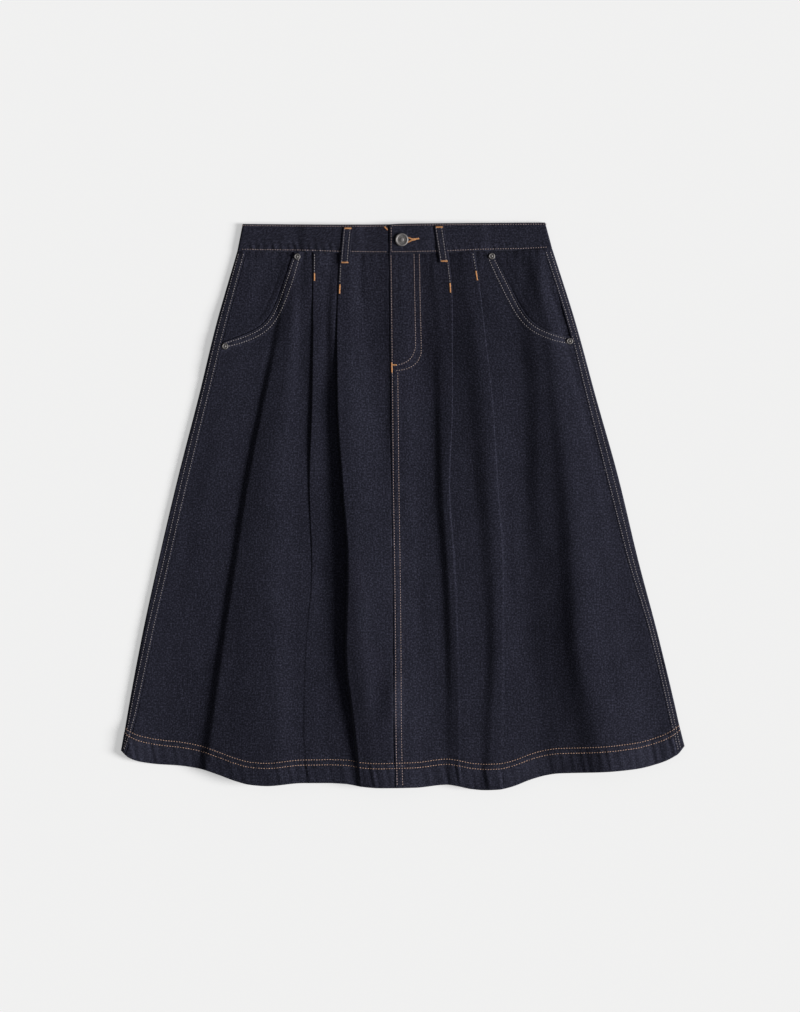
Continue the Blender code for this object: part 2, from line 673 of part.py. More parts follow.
def make_waistband(group, cutters):
    """One band from the lapped end round the back to the underlap, with its buttonhole."""
    band = cloth("waistband", [band_row(share) for share in (0.0, 0.5, 1.0)], group, DENIM,
                 BAND_WALL)
    hole = bmesh.new()
    floor = band_front_z(BUTTON_PLACE[0], False) + BAND_WALL / 2
    bmesh.ops.create_cone(hole, cap_ends=True, segments=HOLE_STEPS, radius1=BUTTONHOLE_RADIUS,
                          radius2=BUTTONHOLE_RADIUS, depth=2 * BAND_PITCH,
                          matrix=Matrix.Translation((*BUTTON_PLACE, floor + GAP / 2 + BAND_PITCH)))
    mesh = bpy.data.meshes.new("buttonhole")
    hole.to_mesh(mesh)
    hole.free()
    cutter = add_object("buttonhole", mesh, cutters)
    cutter.hide_render = True
    cutter.display_type = "WIRE"
    cut(band, cutter)
    smooth(band)


def surface_top(x, y):
    """Upper face of the front or of the waistband at a place."""
    seam = along(WAIST_LINE, x)
    if y >= seam:
        return band_front_z(x, x > LINES["centre_ridge"].x[0]) + BAND_WALL / 2
    drop = LENGTH * (waist_y(x) - y) / (waist_y(x) - hem_y(x))
    return Level(max(drop, 0.0)).top(x) + WALL / 2


def make_belt_loop(loop, group):
    """A belt loop, held at the band's top edge and just under the waist seam."""
    rows = []
    for step in range(LOOP_STEPS + 1):
        share = step / LOOP_STEPS
        x = loop.top.x + (loop.bottom.x - loop.top.x) * share
        y = loop.top.y + (loop.bottom.y - loop.top.y) * share
        places = [x - LOOP_WIDTH / 2, x, x + LOOP_WIDTH / 2]
        near = [surface_top(px, y + dy) for px in np.linspace(places[0], places[-1], LOOP_LOOKS)
                for dy in (-LOOP_CLEAR, 0, LOOP_CLEAR)]
        arch = LOOP_ARCH * sin(pi * share) ** LOOP_ARCH_SHAPE
        z = max(near) + GAP + LOOP_WALL / 2 + arch
        rows.append([Vector((px, y, z)) for px in places])
    smooth(cloth(loop.name, rows, group, DENIM, LOOP_WALL))


def turned(name, profile, place, group, steps):
    """A turned piece: a profile of (radius, height) from its top middle to its bottom middle."""
    mesh = bpy.data.meshes.new(name)
    lathe = bmesh.new()
    made = [lathe.verts.new((radius, 0, height)) for radius, height in profile]
    edges = [lathe.edges.new(pair) for pair in zip(made, made[1:])]
    bmesh.ops.spin(lathe, geom=made + edges, axis=(0, 0, 1), cent=(0, 0, 0), dvec=(0, 0, 0),
                   angle=2 * pi, steps=steps, use_merge=True)
    bmesh.ops.remove_doubles(lathe, verts=lathe.verts, dist=0.001)
    bmesh.ops.recalc_face_normals(lathe, faces=lathe.faces)
    bmesh.ops.translate(lathe, verts=lathe.verts, vec=place)
    lathe.to_mesh(mesh)
    lathe.free()
    thing = add_object(name, mesh, group, METAL)
    smooth(thing, 40)
    return thing


def make_button(group):
    """The waist button: a dished head on a shank that stands on the underlap."""
    x, y = BUTTON_PLACE
    foot = band_front_z(x, False) + BAND_WALL / 2 + GAP
    seat = band_front_z(x, True) + BAND_WALL / 2 + GAP - foot
    head = [(ring.radius, seat + ring.height) for ring in BUTTON_HEAD]
    shank = [(SHANK_RADIUS, seat), (SHANK_RADIUS, 0), (0, 0)]
    turned("waist_button", head + shank, (x, y, foot), group, BUTTON_STEPS)


def make_rivet(name, place, group):
    """A rivet head on the front at the end of a pocket mouth."""
    near = [surface_top(place.x + dx, place.y + dy) for dx in (-RIVET_RADIUS, 0, RIVET_RADIUS)
            for dy in (-RIVET_RADIUS, 0, RIVET_RADIUS)]
    seat = max(near) + GAP
    turned(name, [*RIVET_HEAD, (0, 0)], (place.x, place.y, seat), group, RIVET_STEPS)


def main():
    """Build the skirt."""
    clear_scene()
    skirt = new_collection("denim_skirt")
    cutters = new_collection("cutters")
    make_back(skirt)
    for name in PANELS:
        make_front(name, skirt, cutters)
        make_facing(name, skirt, cutters)
    make_waistband(skirt, cutters)
    for loop in LOOPS:
        make_belt_loop(loop, skirt)
    make_button(skirt)
    for name, place in RIVETS.items():
        make_rivet(name, place, skirt)


main()
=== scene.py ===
"""Looks of an A-line denim skirt that lies flat on its back.

Sizes are in millimetres, as a cutter notes them, and every mesh is made in metres.  The skirt
lies front up with its waist towards +Y, so the wearer's right side is at -X.
"""

import logging
from dataclasses import dataclass, field
from enum import Enum
from math import cos, pi, radians, sin
from typing import Callable, NamedTuple, Sequence

import bmesh
import bpy
import numpy as np
from mathutils import Matrix, Vector


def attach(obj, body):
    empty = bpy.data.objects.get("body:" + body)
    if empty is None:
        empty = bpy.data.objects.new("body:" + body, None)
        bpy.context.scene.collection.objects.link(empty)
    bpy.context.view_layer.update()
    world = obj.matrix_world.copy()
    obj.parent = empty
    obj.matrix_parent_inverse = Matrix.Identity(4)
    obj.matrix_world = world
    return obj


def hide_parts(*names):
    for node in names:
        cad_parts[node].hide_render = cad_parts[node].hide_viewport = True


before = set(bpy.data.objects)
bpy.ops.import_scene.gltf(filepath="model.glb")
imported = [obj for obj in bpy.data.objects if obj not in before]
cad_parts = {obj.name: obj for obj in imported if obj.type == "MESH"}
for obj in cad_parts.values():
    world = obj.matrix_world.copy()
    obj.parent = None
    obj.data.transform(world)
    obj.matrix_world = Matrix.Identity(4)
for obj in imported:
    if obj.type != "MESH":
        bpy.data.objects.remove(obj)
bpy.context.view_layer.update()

MM = 0.001
BODY = "root"
LOG = logging.getLogger("skirt")

Array = np.ndarray


class Point(NamedTuple):
    """A place on the flat skirt."""
    x: float
    y: float


class Line(NamedTuple):
    """A line down the front: its x and its height over the flat cloth at each of DROPS."""
    x: tuple
    height: tuple


class WaistSpot(NamedTuple):
    """A place on the waist seam where the layers of a tuck meet the band."""
    x: float
    reach: float
    sunk: float
    bulge: float

    def near(self, x: Array) -> Array:
        """1 within its reach, falling softly to 0 beyond."""
        return soft_step((self.reach + SPOT_SOFT - np.abs(x - self.x)) / SPOT_SOFT)


class Run(NamedTuple):
    """A run of rows with one spacing."""
    end: float
    step: float


class Crease(NamedTuple):
    """A soft trough (below 0) or ridge (above 0) along a short line of points."""
    points: tuple
    depth: float
    width: float


class Strip(NamedTuple):
    """How a side strip lies along its sewn edge, and how the front swells beside it."""
    wall: float
    edge: float
    lift: float
    rise: float
    lean: float
    fade: float


class Side(Enum):
    """The wearer's two sides, each with the way to the centre front."""
    RIGHT = 1
    LEFT = -1

    @property
    def label(self) -> str:
        """The side's name."""
        return self.name.lower()


# ---------------------------------------------------------------------------------------------
# The cut, as in the solids

WALL = 1.0
GAP = 0.3
LAYER = WALL + GAP
BACK_MID = WALL / 2
FRONT_MID = BACK_MID + LAYER
FRONT_TOP = FRONT_MID + WALL / 2

LENGTH = 640.0
DROPS = (0, 90, 180, 280, 380, 480, 570, 640)

STRIP_WIDTH = {Side.RIGHT: (10.4, 12.2, 12.3, 13.9, 14.4, 13.4, 11.2, 4.6),
               Side.LEFT: (10.6, 10.5, 12.3, 14.8, 13.3, 9.8, 10, 9)}
SEAM_TUCK = 3.0
STRIP_FLAT = 16.0

LAP = 12.0
LAP_SOFT = 22.0
LAP_MARGIN = 2.0

BAND_WALL = 2.0
BAND_PITCH = BAND_WALL + GAP
BAND_BACK_MID = BAND_WALL / 2
BAND_FRONT_MID = BAND_BACK_MID + BAND_PITCH
BAND_UNDERLAP_END = 24.0
BAND_LAP_END = -16.0
BAND_LAP_SOFT = 30.0
WAIST_RISE = BAND_FRONT_MID - FRONT_MID
WAIST_RISE_DROP = 16.0
BAND_OVERHANG = 0.5     # the band reaches this far below the waist seam's line

POCKET_FLAT = 26.0
POCKET_FADE = 50.0
POCKET_UNDERLAP = 12.0
MOUTH_RUN_OUT = 45.0

WAIST_LINE = ((-198, 306.5), (-122, 305.5), (-69, 304), (-15, 303.5),
              (45, 304.5), (93, 306.5), (141, 307.5), (180, 309.5))
BAND_TOP = ((-192, 338.8), (-75, 338), (-16, 338.3), (-3, 339),
            (46, 339.6), (171, 340.5))
HEM_LINE = ((-338, -293), (-329, -301.5), (-315, -306.5), (-293, -309.5),
            (-269, -311), (-243, -315), (-221, -322), (-202, -329),
            (-183, -334), (-163, -335.5), (-120, -332), (-91, -332),
            (-69, -333), (-48, -336.5), (-27, -338), (15, -337.5),
            (53, -334), (67, -336), (81, -339), (98, -340.5),
            (114, -340), (129, -337), (156, -327), (173, -322.5),
            (187, -320.5), (237, -319), (278, -315.5), (309, -308),
            (330, -297.5), (338, -288))
BACK_HEM_SIDE = -290.0
BACK_HEM_SAG = 40.0

LINES = {
    "right_side": Line((-198.5, -223.8, -244.8, -269.3, -291.8, -312.4, -327.9, -338), (0,) * 8),
    "right_puff": Line((-168, -185, -205, -228, -247, -264, -278, -291),
                       (0, 0.6, 1.2, 1.8, 1.8, 1.4, 1.4, 1.6)),
    "right_valley": Line((-141, -154.5, -172.5, -192, -207.5, -222.5, -235.5, -246),
                         (0, 0.5, 0.6, 1, 1.2, 1.4, 2.4, 3.2)),
    "right_brow": Line((-136, -146.5, -165, -184.5, -199, -213.5, -225, -234),
                       (0, 2.8, 3.9, 4.8, 5.2, 5.6, 7, 8)),
    "right_crest": Line((-131, -134, -145, -160, -164, -157, -155, -154),
                        (0, 4, 5.2, 7.2, 8, 8.8, 11.4, 13.4)),
    "tuck_valley": Line((-119, -122, -122, -122, -125, -127, -125, -116),
                        (0, 1.2, 2, 3, 4, 5.2, 8.4, 10)),
    "between_tucks": Line((-90, -92, -92, -91, -89, -89, -82, -77),
                          (0, 0.6, 1.2, 2, 2.6, 4.6, 7, 8.4)),
    "right_foot": Line((-81, -83.5, -80, -72, -64, -66, -56, -49),
                       (0, 2.8, 3.6, 4.2, 4.6, 5.6, 7.6, 8.6)),
    "centre_valley": Line((-38, -28, -28, -23, -20, -29, -32, -32),
                          (0, 1.6, 3.4, 4.2, 5, 8.2, 10.7, 11.2)),
    "centre_ridge": Line((-12, -11, -10, -9, -7, -8, -14, -12),
                         (0, 2.2, 3.3, 3.6, 4.4, 8.9, 12.6, 12.8)),
    "fly_valley": Line((31, 34, 37, 39, 46, 50, 51, 52), (0, 0.2, 0.4, 1, 1.4, 3.6, 5.8, 6.2)),
    "fly_step": Line((40, 44, 46.5, 48.5, 55.5, 59, 60, 61), (0, 0.4, 2.2, 3.5, 4.1, 6, 7, 7.2)),
    "inner_foot": Line((54, 59, 59, 57, 63, 67, 70, 70), (0, 0.8, 2.4, 3.6, 4.2, 6.8, 8, 8)),
    "left_dip": Line((70, 74, 76, 84, 92, 97, 94, 92), (0, 1.5, 2.9, 3.4, 3.6, 5.1, 6.9, 7.3)),
    "left_ridge": Line((79, 89, 98, 103, 108, 113, 107, 104),
                       (0, 2.7, 5.2, 5.8, 5.8, 7.4, 8.4, 9.2)),
    "left_valley": Line((120, 136, 144, 146, 148, 152, 162, 166),
                        (0, 1, 1.4, 1.6, 1.8, 3, 5, 5.2)),
    "left_step": Line((134, 157, 165, 163, 172, 176, 186, 190),
                      (0, 3.9, 5, 4.8, 4.6, 5.4, 7, 7.4)),
    "left_foot": Line((142, 164, 173, 180, 186, 191, 203, 214),
                      (0, 4.2, 5.4, 6.2, 6.8, 8.2, 9.5, 9.5)),
    "left_crest": Line((150, 173, 184, 196.5, 205.5, 211, 230, 246),
                       (0, 4.6, 6.4, 9, 11.8, 14.5, 15, 14)),
    "left_flank": Line((158, 184, 204, 225, 240, 248, 268, 280),
                       (0, 2.4, 3, 3.8, 5, 7.4, 8.6, 8.2)),
    "left_side": Line((179.5, 207.4, 231.5, 258.8, 281.9, 306.4, 325.6, 338.3), (0,) * 8),
}
CENTRE_FRONT = (-16, -15, -14, -13, -11.5, -10.5, -10, -8.5)

# Each tuck by drop: x of its fold, the fold's radius and turn, the cloth inside it and how far
# it lifts what lies over it
TUCKS = {
    "right_outer": ((0, -107, 0.65, 180, 5, 26), (38, -107, 0.65, 180, 5, 30),
                    (90, -107, 0.65, 176, 4, 36), (180, -108, 0.65, 160, 1, 40),
                    (280, -111, 0.8, 60, 0.8, 32), (380, -108, 1.1, 30, 0.8, 26),
                    (480, -115, 2.0, 12, 1.2, 22), (570, -117, 4.0, 12, 1.8, 24),
                    (640, -112, 5.0, 8, 2, 24)),
    "right_inner": ((0, -75, 0.65, 180, 11, 26), (52, -77, 0.65, 180, 11, 30),
                    (90, -78, 0.7, 178, 8, 40), (180, -77, 1.2, 160, 6, 48),
                    (280, -70.5, 1.5, 145, 4, 60), (380, -64, 2.1, 125, 2.2, 76),
                    (480, -66, 2.3, 110, 2.2, 76), (570, -56, 2.4, 85, 1.6, 60),
                    (640, -49, 2.0, 60, 1.2, 50)),
    "left_inner": ((0, 54, 0.65, 180, 11, 50), (52, 58.5, 0.65, 180, 11, 50),
                   (90, 59, 0.65, 176, 6, 44), (180, 59, 0.65, 115, 0.5, 32),
                   (280, 55, 1.0, 60, 0.8, 20), (380, 61, 2.0, 30, 1.2, 20),
                   (480, 65, 2.2, 15, 1.6, 20), (570, 67, 2.4, 10, 2, 22),
                   (640, 67, 2.4, 8, 2, 22)),
    "left_outer": ((0, 85, 0.65, 180, 11, 44), (38, 91, 0.65, 180, 11, 50),
                   (90, 97, 0.65, 172, 5, 52), (180, 107, 0.65, 115, 0.5, 44),
                   (280, 113, 1.0, 55, 0.8, 30), (380, 119, 2.5, 22, 1.4, 18),
                   (480, 119, 4.0, 12, 1.8, 18), (570, 118, 5.0, 8, 2, 20),
                   (640, 116, 5.0, 8, 2, 20)),
}
OWN_TUCKS = {Side.RIGHT: ("right_outer", "right_inner"), Side.LEFT: ("left_outer", "left_inner")}

WAIST_SPOTS = (WaistSpot(-133, 18, 1.3, 0.0), WaistSpot(-86, 30, 0.8, 1.3),
               WaistSpot(64, 30, 0.8, 1.3), WaistSpot(111, 18, 1.3, 0.0))
SPOT_SOFT = 12.0

# Pocket mouths as Bezier corners, from the waist seam to the side seam
POCKETS = {Side.RIGHT: ((-129.2, 307), (-163, 211.3), (-155.2, 218.8), (-220, 194.7)),
           Side.LEFT: ((106.6, 307), (153.1, 221.4), (138.9, 219), (210, 198.3))}

# ---------------------------------------------------------------------------------------------
# What sewing and wear add to the cut

EDGE_WALL = 1.5         # of a turned edge: the pocket mouths and the lap
EDGE_DEPTH = 9.0
EDGE_SOFT = 3.5
EDGE_STEP = 2.0         # the cloth itself thins over this much
HEM_WALL = 2.2
HEM_RISE_DROP = 588.0   # the front climbs onto the back's hem from here
HEM_RISE_OVER = 26.0
HEM_SOFT = 0.9
HEM_DEPTH = ((-338, 33.0), (-310, 30.5), (-270, 28.3), (-221, 27.2),
             (-120, 27.8), (0, 30.0), (98, 31.2), (200, 30.0),
             (290, 31.5), (338, 33.2))
HEM_ROW_PITCH = 6.2
FLY_INSET = 2.5
FLY_SOFT = 4.5
FLY_EDGE = ((0, 95, 120, 135, 141, 152), (37, 37, 31, 20, 12, 10))
LAP_EDGE = ((120, 175), (EDGE_WALL, 1.3))      # the lap's edge, by drop
DITCH = 0.9             # the front dips where the band is sewn to it
DITCH_FROM = 0.6
DITCH_SOFT = 4.5
CF_ROWS = (1.9, 8.4)
CF_SECOND_FROM = 142.0  # the second row starts below the fly
STRIP_EDGE_ROW = 2.2    # the strip's inner row, from its inner edge
STRIP_OUTER_ROW = {Side.RIGHT: (2.3, 3.4, 3.8, 5.3, 6.2, 5, 3.2, 2.2),     # from the outer fold
                   Side.LEFT: (3.4, 3.4, 4, 6.1, 6.1, 3.9, 4.3, 4.2)}
LAP_SWELL = ((0, 25, 100, 177, 296, 600), (0.9, 1.15, 0.9, 0.7, 1.0, 0.8))    # by drop
BAND_SWELL = 1.3        # the band's underlap stands up beside the lapped end
BAND_ROW = 1.9          # the band's rows, in from its edges
BAND_PUCKERS = ((-200, -185, -120, -75, -60, -20, 20, 60, 110, 180),
                (0.5, 1.9, 2.0, 1.4, 0.5, 0.4, 0.5, 0.7, 0.6, 0.4))    # by x
STRIPS = {Side.RIGHT: Strip(1.1, 1.05, 0.7, 0.8, 0.0, 24.0),
          Side.LEFT: Strip(1.3, 1.25, 0.9, 1.45, 0.8, 34.0)}
STRIP_BRINK = 0.5       # the front climbs beside the strip over this much
STRIP_LEAN_OVER = 9.0   # and goes on rising over this much
# How the layer below a tuck's fold climbs towards it: by drop, its height and its reach
TUCK_SWELLS = {
    "right_outer": ((0, 30, 70, 130, 190), (1.8, 1.9, 1.4, 0.9, 0), (14, 14, 11, 8, 4)),
    "right_inner": ((0, 40, 120, 190, 260, 330), (1.6, 1.7, 1.4, 0.8, 0.4, 0),
                    (11, 11, 9, 8, 8, 8)),
}
MOUTH_ROWS = (((0, 15, 45, 85, 125, 155), (2.0, 2.3, 2.7, 3.3, 2.6, 0.9)),     # by run
              ((0, 15, 45, 85, 125, 155), (6.4, 8.2, 9.3, 8.9, 8.1, 5.4)))
MOUTH_DENTS = (2.7, 8.8)
MOUTH_ROW_ENDS = (4.0, 9.5)     # below the waist seam and in from the side seam
MOUTH_END_DROP = 108.0
TUCK_ROW = 1.1          # a tuck's row, in from its fold
TUCK_SEWING = (("right_outer", 2.0, 25.0, 34.6), ("right_inner", 2.0, 38.0, 49.4),
               ("left_inner", 2.0, 37.0, 49.0), ("left_outer", 2.0, 23.5, 35.0))

CREASES = [Crease(*row) for row in (
    (((-20.5, 190), (-19.5, 120), (-20.5, 45)), -0.8, 7),
    (((-12, -195), (-13, -233), (-14, -272)), 2.0, 10),
    (((-33, -190), (-34, -233), (-36, -280)), -0.7, 8),
    (((36, 302), (37, 285), (38, 256)), 0.4, 11),
    (((43, 262), (44, 235), (46, 200)), 0.5, 5),
    (((121, 67), (126, 7), (127, -53), (131, -113), (135, -173)), -0.7, 6),
    (((-1.5, 298), (-1.5, 270), (-2.5, 240)), 0.35, 2.2),
    (((97, 304), (93, 290), (90, 276)), 0.5, 3.0),
    (((-101, 300), (-99, 284), (-98, 262)), -0.5, 4.0),
    (((-55, 298), (-52, 270), (-47, 232)), -0.5, 6.0),
    (((30, 300), (31, 272), (33, 236)), -0.6, 6.0),
    (((73, 296), (76, 262), (80, 226)), 0.5, 7.0),
    (((-262, 20), (-270, -40), (-284, -110)), 0.6, 9.0),
    (((-210, -160), (-222, -205), (-228, -262)), 0.7, 10.0),
    (((-96, -30), (-98, -90), (-95, -150)), -0.5, 8.0),
    (((-8, 60), (4, 20), (9, -40)), 0.5, 9.0),
    (((20, -60), (18, -130), (24, -210)), -0.6, 9.0),
    (((300, -150), (306, -195), (303, -240)), -0.7, 9.0),
    (((262, -60), (272, -110), (276, -160)), 0.6, 10.0),
    (((163, 330), (165, 280), (169, 222)), 1.9, 9.0),
    (((176, 325), (184, 275), (192, 225)), 0.9, 8.0),
    (((143, 326), (145, 280), (143, 222)), -0.6, 7.0),
    (((-58, -20), (-54, -110), (-45, -215), (-36, -300)), 1.6, 13.0),
    (((-176, 296), (-181, 262), (-190, 228)), 0.5, 9.0),
)]


def smooth_curve(knots: Sequence[float], values: Sequence[float], where: Array) -> Array:
    """A curve through the knots that never overshoots them (monotone cubic).

    Args:
        knots: Rising places of the knots.
        values: The curve's value at each knot.
        where: Places to read; beyond the knots the end values hold.

    Returns:
        The curve's value at each place.
    """
    knots = np.asarray(knots, float)
    values = np.asarray(values, float)
    step = np.diff(knots)
    slope = np.diff(values) / step
    tangent = np.empty(len(knots))
    tangent[0], tangent[-1] = slope[0], slope[-1]
    before, after = slope[:-1], slope[1:]
    same = before * after > 0
    sums = np.where(same, before + after, 1.0)
    tangent[1:-1] = np.where(same, 2 * before * after / sums, 0.0)
    where = np.clip(where, knots[0], knots[-1])
    cell = np.clip(np.searchsorted(knots, where, side="right") - 1, 0, len(step) - 1)
    u = (where - knots[cell]) / step[cell]
    return ((2 * u**3 - 3 * u**2 + 1) * values[cell] + (u**3 - 2 * u**2 + u) * step[cell]
            * tangent[cell] + (3 * u**2 - 2 * u**3) * values[cell + 1]
            + (u**3 - u**2) * step[cell] * tangent[cell + 1])


def soft_step(value: Array) -> Array:
    """0 below 0, 1 above 1, smooth between."""
    value = np.clip(value, 0.0, 1.0)
    return value * value * (3 - 2 * value)


def fall(value: Array, start: float, over: float) -> Array:
    """1 up to the start, 0 from there on over some distance, smooth between."""
    return 1 - soft_step((value - start) / over)


def hump(away: Array, width: float) -> Array:
    """1 where nothing is away, falling softly to 0 over a width."""
    return np.exp(-(away / width) ** 2)


def along(points: Sequence[tuple], x: Array) -> Array:
    """The y of a line of points at x."""
    return smooth_curve(*zip(*points), x)


def at_drop(values: Sequence[float], drop: float) -> float:
    """A value at one drop, out of its values at DROPS."""
    return float(smooth_curve(DROPS, values, drop))


def waist_y(x: Array) -> Array:
    """Top edge of the panels, just under the waistband."""
    return along(WAIST_LINE, x) - GAP


def hem_y(x: Array) -> Array:
    """Lower edge of the front."""
    return along(HEM_LINE, x)


def front_y(x: Array, drop: Array) -> Array:
    """Where a drop below the waist seam lies on the front."""
    top = waist_y(x)
    return top + (hem_y(x) - top) * drop / LENGTH


def back_hem_y(x: Array) -> Array:
    """Lower edge of the back."""
    half = LINES["left_side"].x[-1]
    return BACK_HEM_SIDE - BACK_HEM_SAG * (1 - (x / half) ** 2)


def uneven(x: Array, y: Array, size: float, seed: int) -> Array:
    """Smooth unevenness from -1 to 1.

    Args:
        x: Places across.
        y: Places along.
        size: Size of the bumps.
        seed: Which pattern.

    Returns:
        The height at each place.
    """
    cells = 97
    lattice = np.random.default_rng(seed).uniform(-1, 1, (cells, cells))
    u, v = np.asarray(x) / size, np.asarray(y) / size
    i, j = np.floor(u).astype(int), np.floor(v).astype(int)
    a, b = soft_step(u - i), soft_step(v - j)
    low = lattice[i % cells, j % cells] * (1 - a) + lattice[(i + 1) % cells, j % cells] * a
    high = (lattice[i % cells, (j + 1) % cells] * (1 - a)
            + lattice[(i + 1) % cells, (j + 1) % cells] * a)
    return low * (1 - b) + high * b


def ripple(run: Array, pitch: float, at: Array, drift: float, size: float, seed: int) -> Array:
    """Puckers of one pitch along a run, which drift with the unevenness at other places."""
    return np.sin(2 * pi * run / pitch + drift * uneven(at, at * 0, size, seed))


def bezier(corners: Sequence[tuple], steps: int) -> Array:
    """A pocket mouth as points, with a straight run out past the side seam.

    Args:
        corners: The Bezier curve's four corners.
        steps: How many steps along the curve.

    Returns:
        Its points, one to a row.
    """
    t = np.linspace(0, 1, steps + 1)[:, None]
    corners = np.array(corners, float)
    curve = ((1 - t) ** 3 * corners[0] + 3 * t * (1 - t) ** 2 * corners[1]
             + 3 * t**2 * (1 - t) * corners[2] + t**3 * corners[3])
    heading = corners[3] - corners[2]
    heading /= np.hypot(*heading)
    return np.vstack((curve, curve[-1] + heading * MOUTH_RUN_OUT))


MOUTH_STEPS = 56
CROSSING_STEPS = 6      # to find where a level crosses a mouth
MOUTHS = {side: bezier(pocket, MOUTH_STEPS) for side, pocket in POCKETS.items()}


def mouth_ways(mouth: Array, side: Side) -> tuple[Array, Array]:
    """The way along a pocket mouth, and the way from it under the front, at each point.

    Args:
        mouth: A mouth's points.
        side: Which side.

    Returns:
        Both ways, as unit rows.
    """
    travel = np.gradient(mouth, axis=0)
    travel /= np.hypot(*travel.T)[:, None]
    return travel, np.column_stack((-travel[:, 1], travel[:, 0])) * side.value


def mouth_distance(x: Array, y: Array, side: Side | None = None) -> Array:
    """Distance from each place to the nearest pocket mouth, or to that of one side.

    Args:
        x: Places across.
        y: Places along.
        side: The one side; both sides where it is left out.

    Returns:
        The distance at each place.
    """
    mouths = [MOUTHS[side]] if side else list(MOUTHS.values())
    best = np.full(np.shape(x), np.inf)
    for mouth in mouths:
        curve = mouth[:-1]
        gaps = (x[..., None] - curve[:, 0]) ** 2 + (y[..., None] - curve[:, 1]) ** 2
        best = np.minimum(best, np.sqrt(gaps.min(-1)))
    return best


def mouth_x(side: Side, y: Array) -> Array:
    """Where a pocket mouth crosses a level.

    Args:
        side: Which side.
        y: Levels.

    Returns:
        x at each level, well outside the skirt below the mouth.
    """
    mouth = MOUTHS[side][::-1]
    below = -1e3 * side.value
    return np.interp(y, mouth[:, 1], mouth[:, 0], left=below)


def crease_height(x: Array, y: Array) -> Array:
    """The small troughs and ridges that are listed.

    Args:
        x: Places across.
        y: Places along.

    Returns:
        The height at each place.
    """
    total = np.zeros(np.broadcast(x, y).shape)
    for crease in CREASES:
        xs, ys = zip(*crease.points[::-1])
        line = smooth_curve(ys, xs, y)
        span = ys[-1] - ys[0]
        inside = soft_step((y - ys[0]) / (0.4 * span)) * soft_step((ys[-1] - y) / (0.4 * span))
        total += crease.depth * inside * hump(x - line, crease.width)
    return total


# ---------------------------------------------------------------------------------------------
# The front, one level at a time

class Tuck:
    """A tuck where it crosses one level."""

    STEPS = 7

    def __init__(self, name: str, drop: float) -> None:
        """Read the tuck's rows at a drop below the waist seam.

        Args:
            name: The tuck's name in TUCKS.
            drop: How far below the waist seam.
        """
        drops, *columns = zip(*TUCKS[name])
        self.toward = 1 if name.startswith("right") else -1
        self.edge, self.radius, turn, self.middle, self.reach = (
            float(smooth_curve(drops, column, drop)) for column in columns)
        self.turn = radians(turn)
        self.overlap = -(2 * self.radius * sin(self.turn) + self.middle * cos(self.turn))
        self.height = 2 * self.radius * (1 - cos(self.turn)) + self.middle * sin(self.turn)
        self.start = self.edge + self.toward * self.overlap
        self.flat = max(self.overlap, 0) + 2 * self.radius + GAP

    def lift(self, x: Array) -> Array:
        """How much the layer over the tuck is raised at x."""
        inward = (x - self.edge) * self.toward
        return self.height * fall(inward, self.flat, self.reach - self.flat)

    def over(self, x: Array) -> Array:
        """How far the uppermost cloth stands over the layer below at x, its slope included.

        Args:
            x: Places across.

        Returns:
            The height at each place.
        """
        places = np.array([(self.start, 0.0), *self.path()])
        slope = np.minimum.accumulate(((places[:, 0] - self.edge) * self.toward)[::-1])[::-1]
        inward = (x - self.edge) * self.toward
        rise = np.interp(inward, slope, places[:, 1], left=0.0)
        return np.where(inward >= 0, self.lift(x), rise)

    def path(self) -> list[tuple[float, float]]:
        """Places (x, rise) through the tuck, from the layer below it to the layer above.

        Returns:
            x and rise of each place.
        """
        places = []
        for step in range(1, self.STEPS + 1):
            angle = self.turn * step / self.STEPS
            places.append((self.start + self.toward * self.radius * sin(angle),
                           self.radius * (1 - cos(angle))))
        x, rise = places[-1]
        x += self.toward * self.middle * cos(self.turn)
        rise += self.middle * sin(self.turn)
        for step in range(self.STEPS + 1):
            angle = self.turn * (1 - step / self.STEPS)
            places.append((x + self.toward * self.radius * (sin(self.turn) - sin(angle)),
                           rise + self.radius * (cos(angle) - cos(self.turn))))
        return places


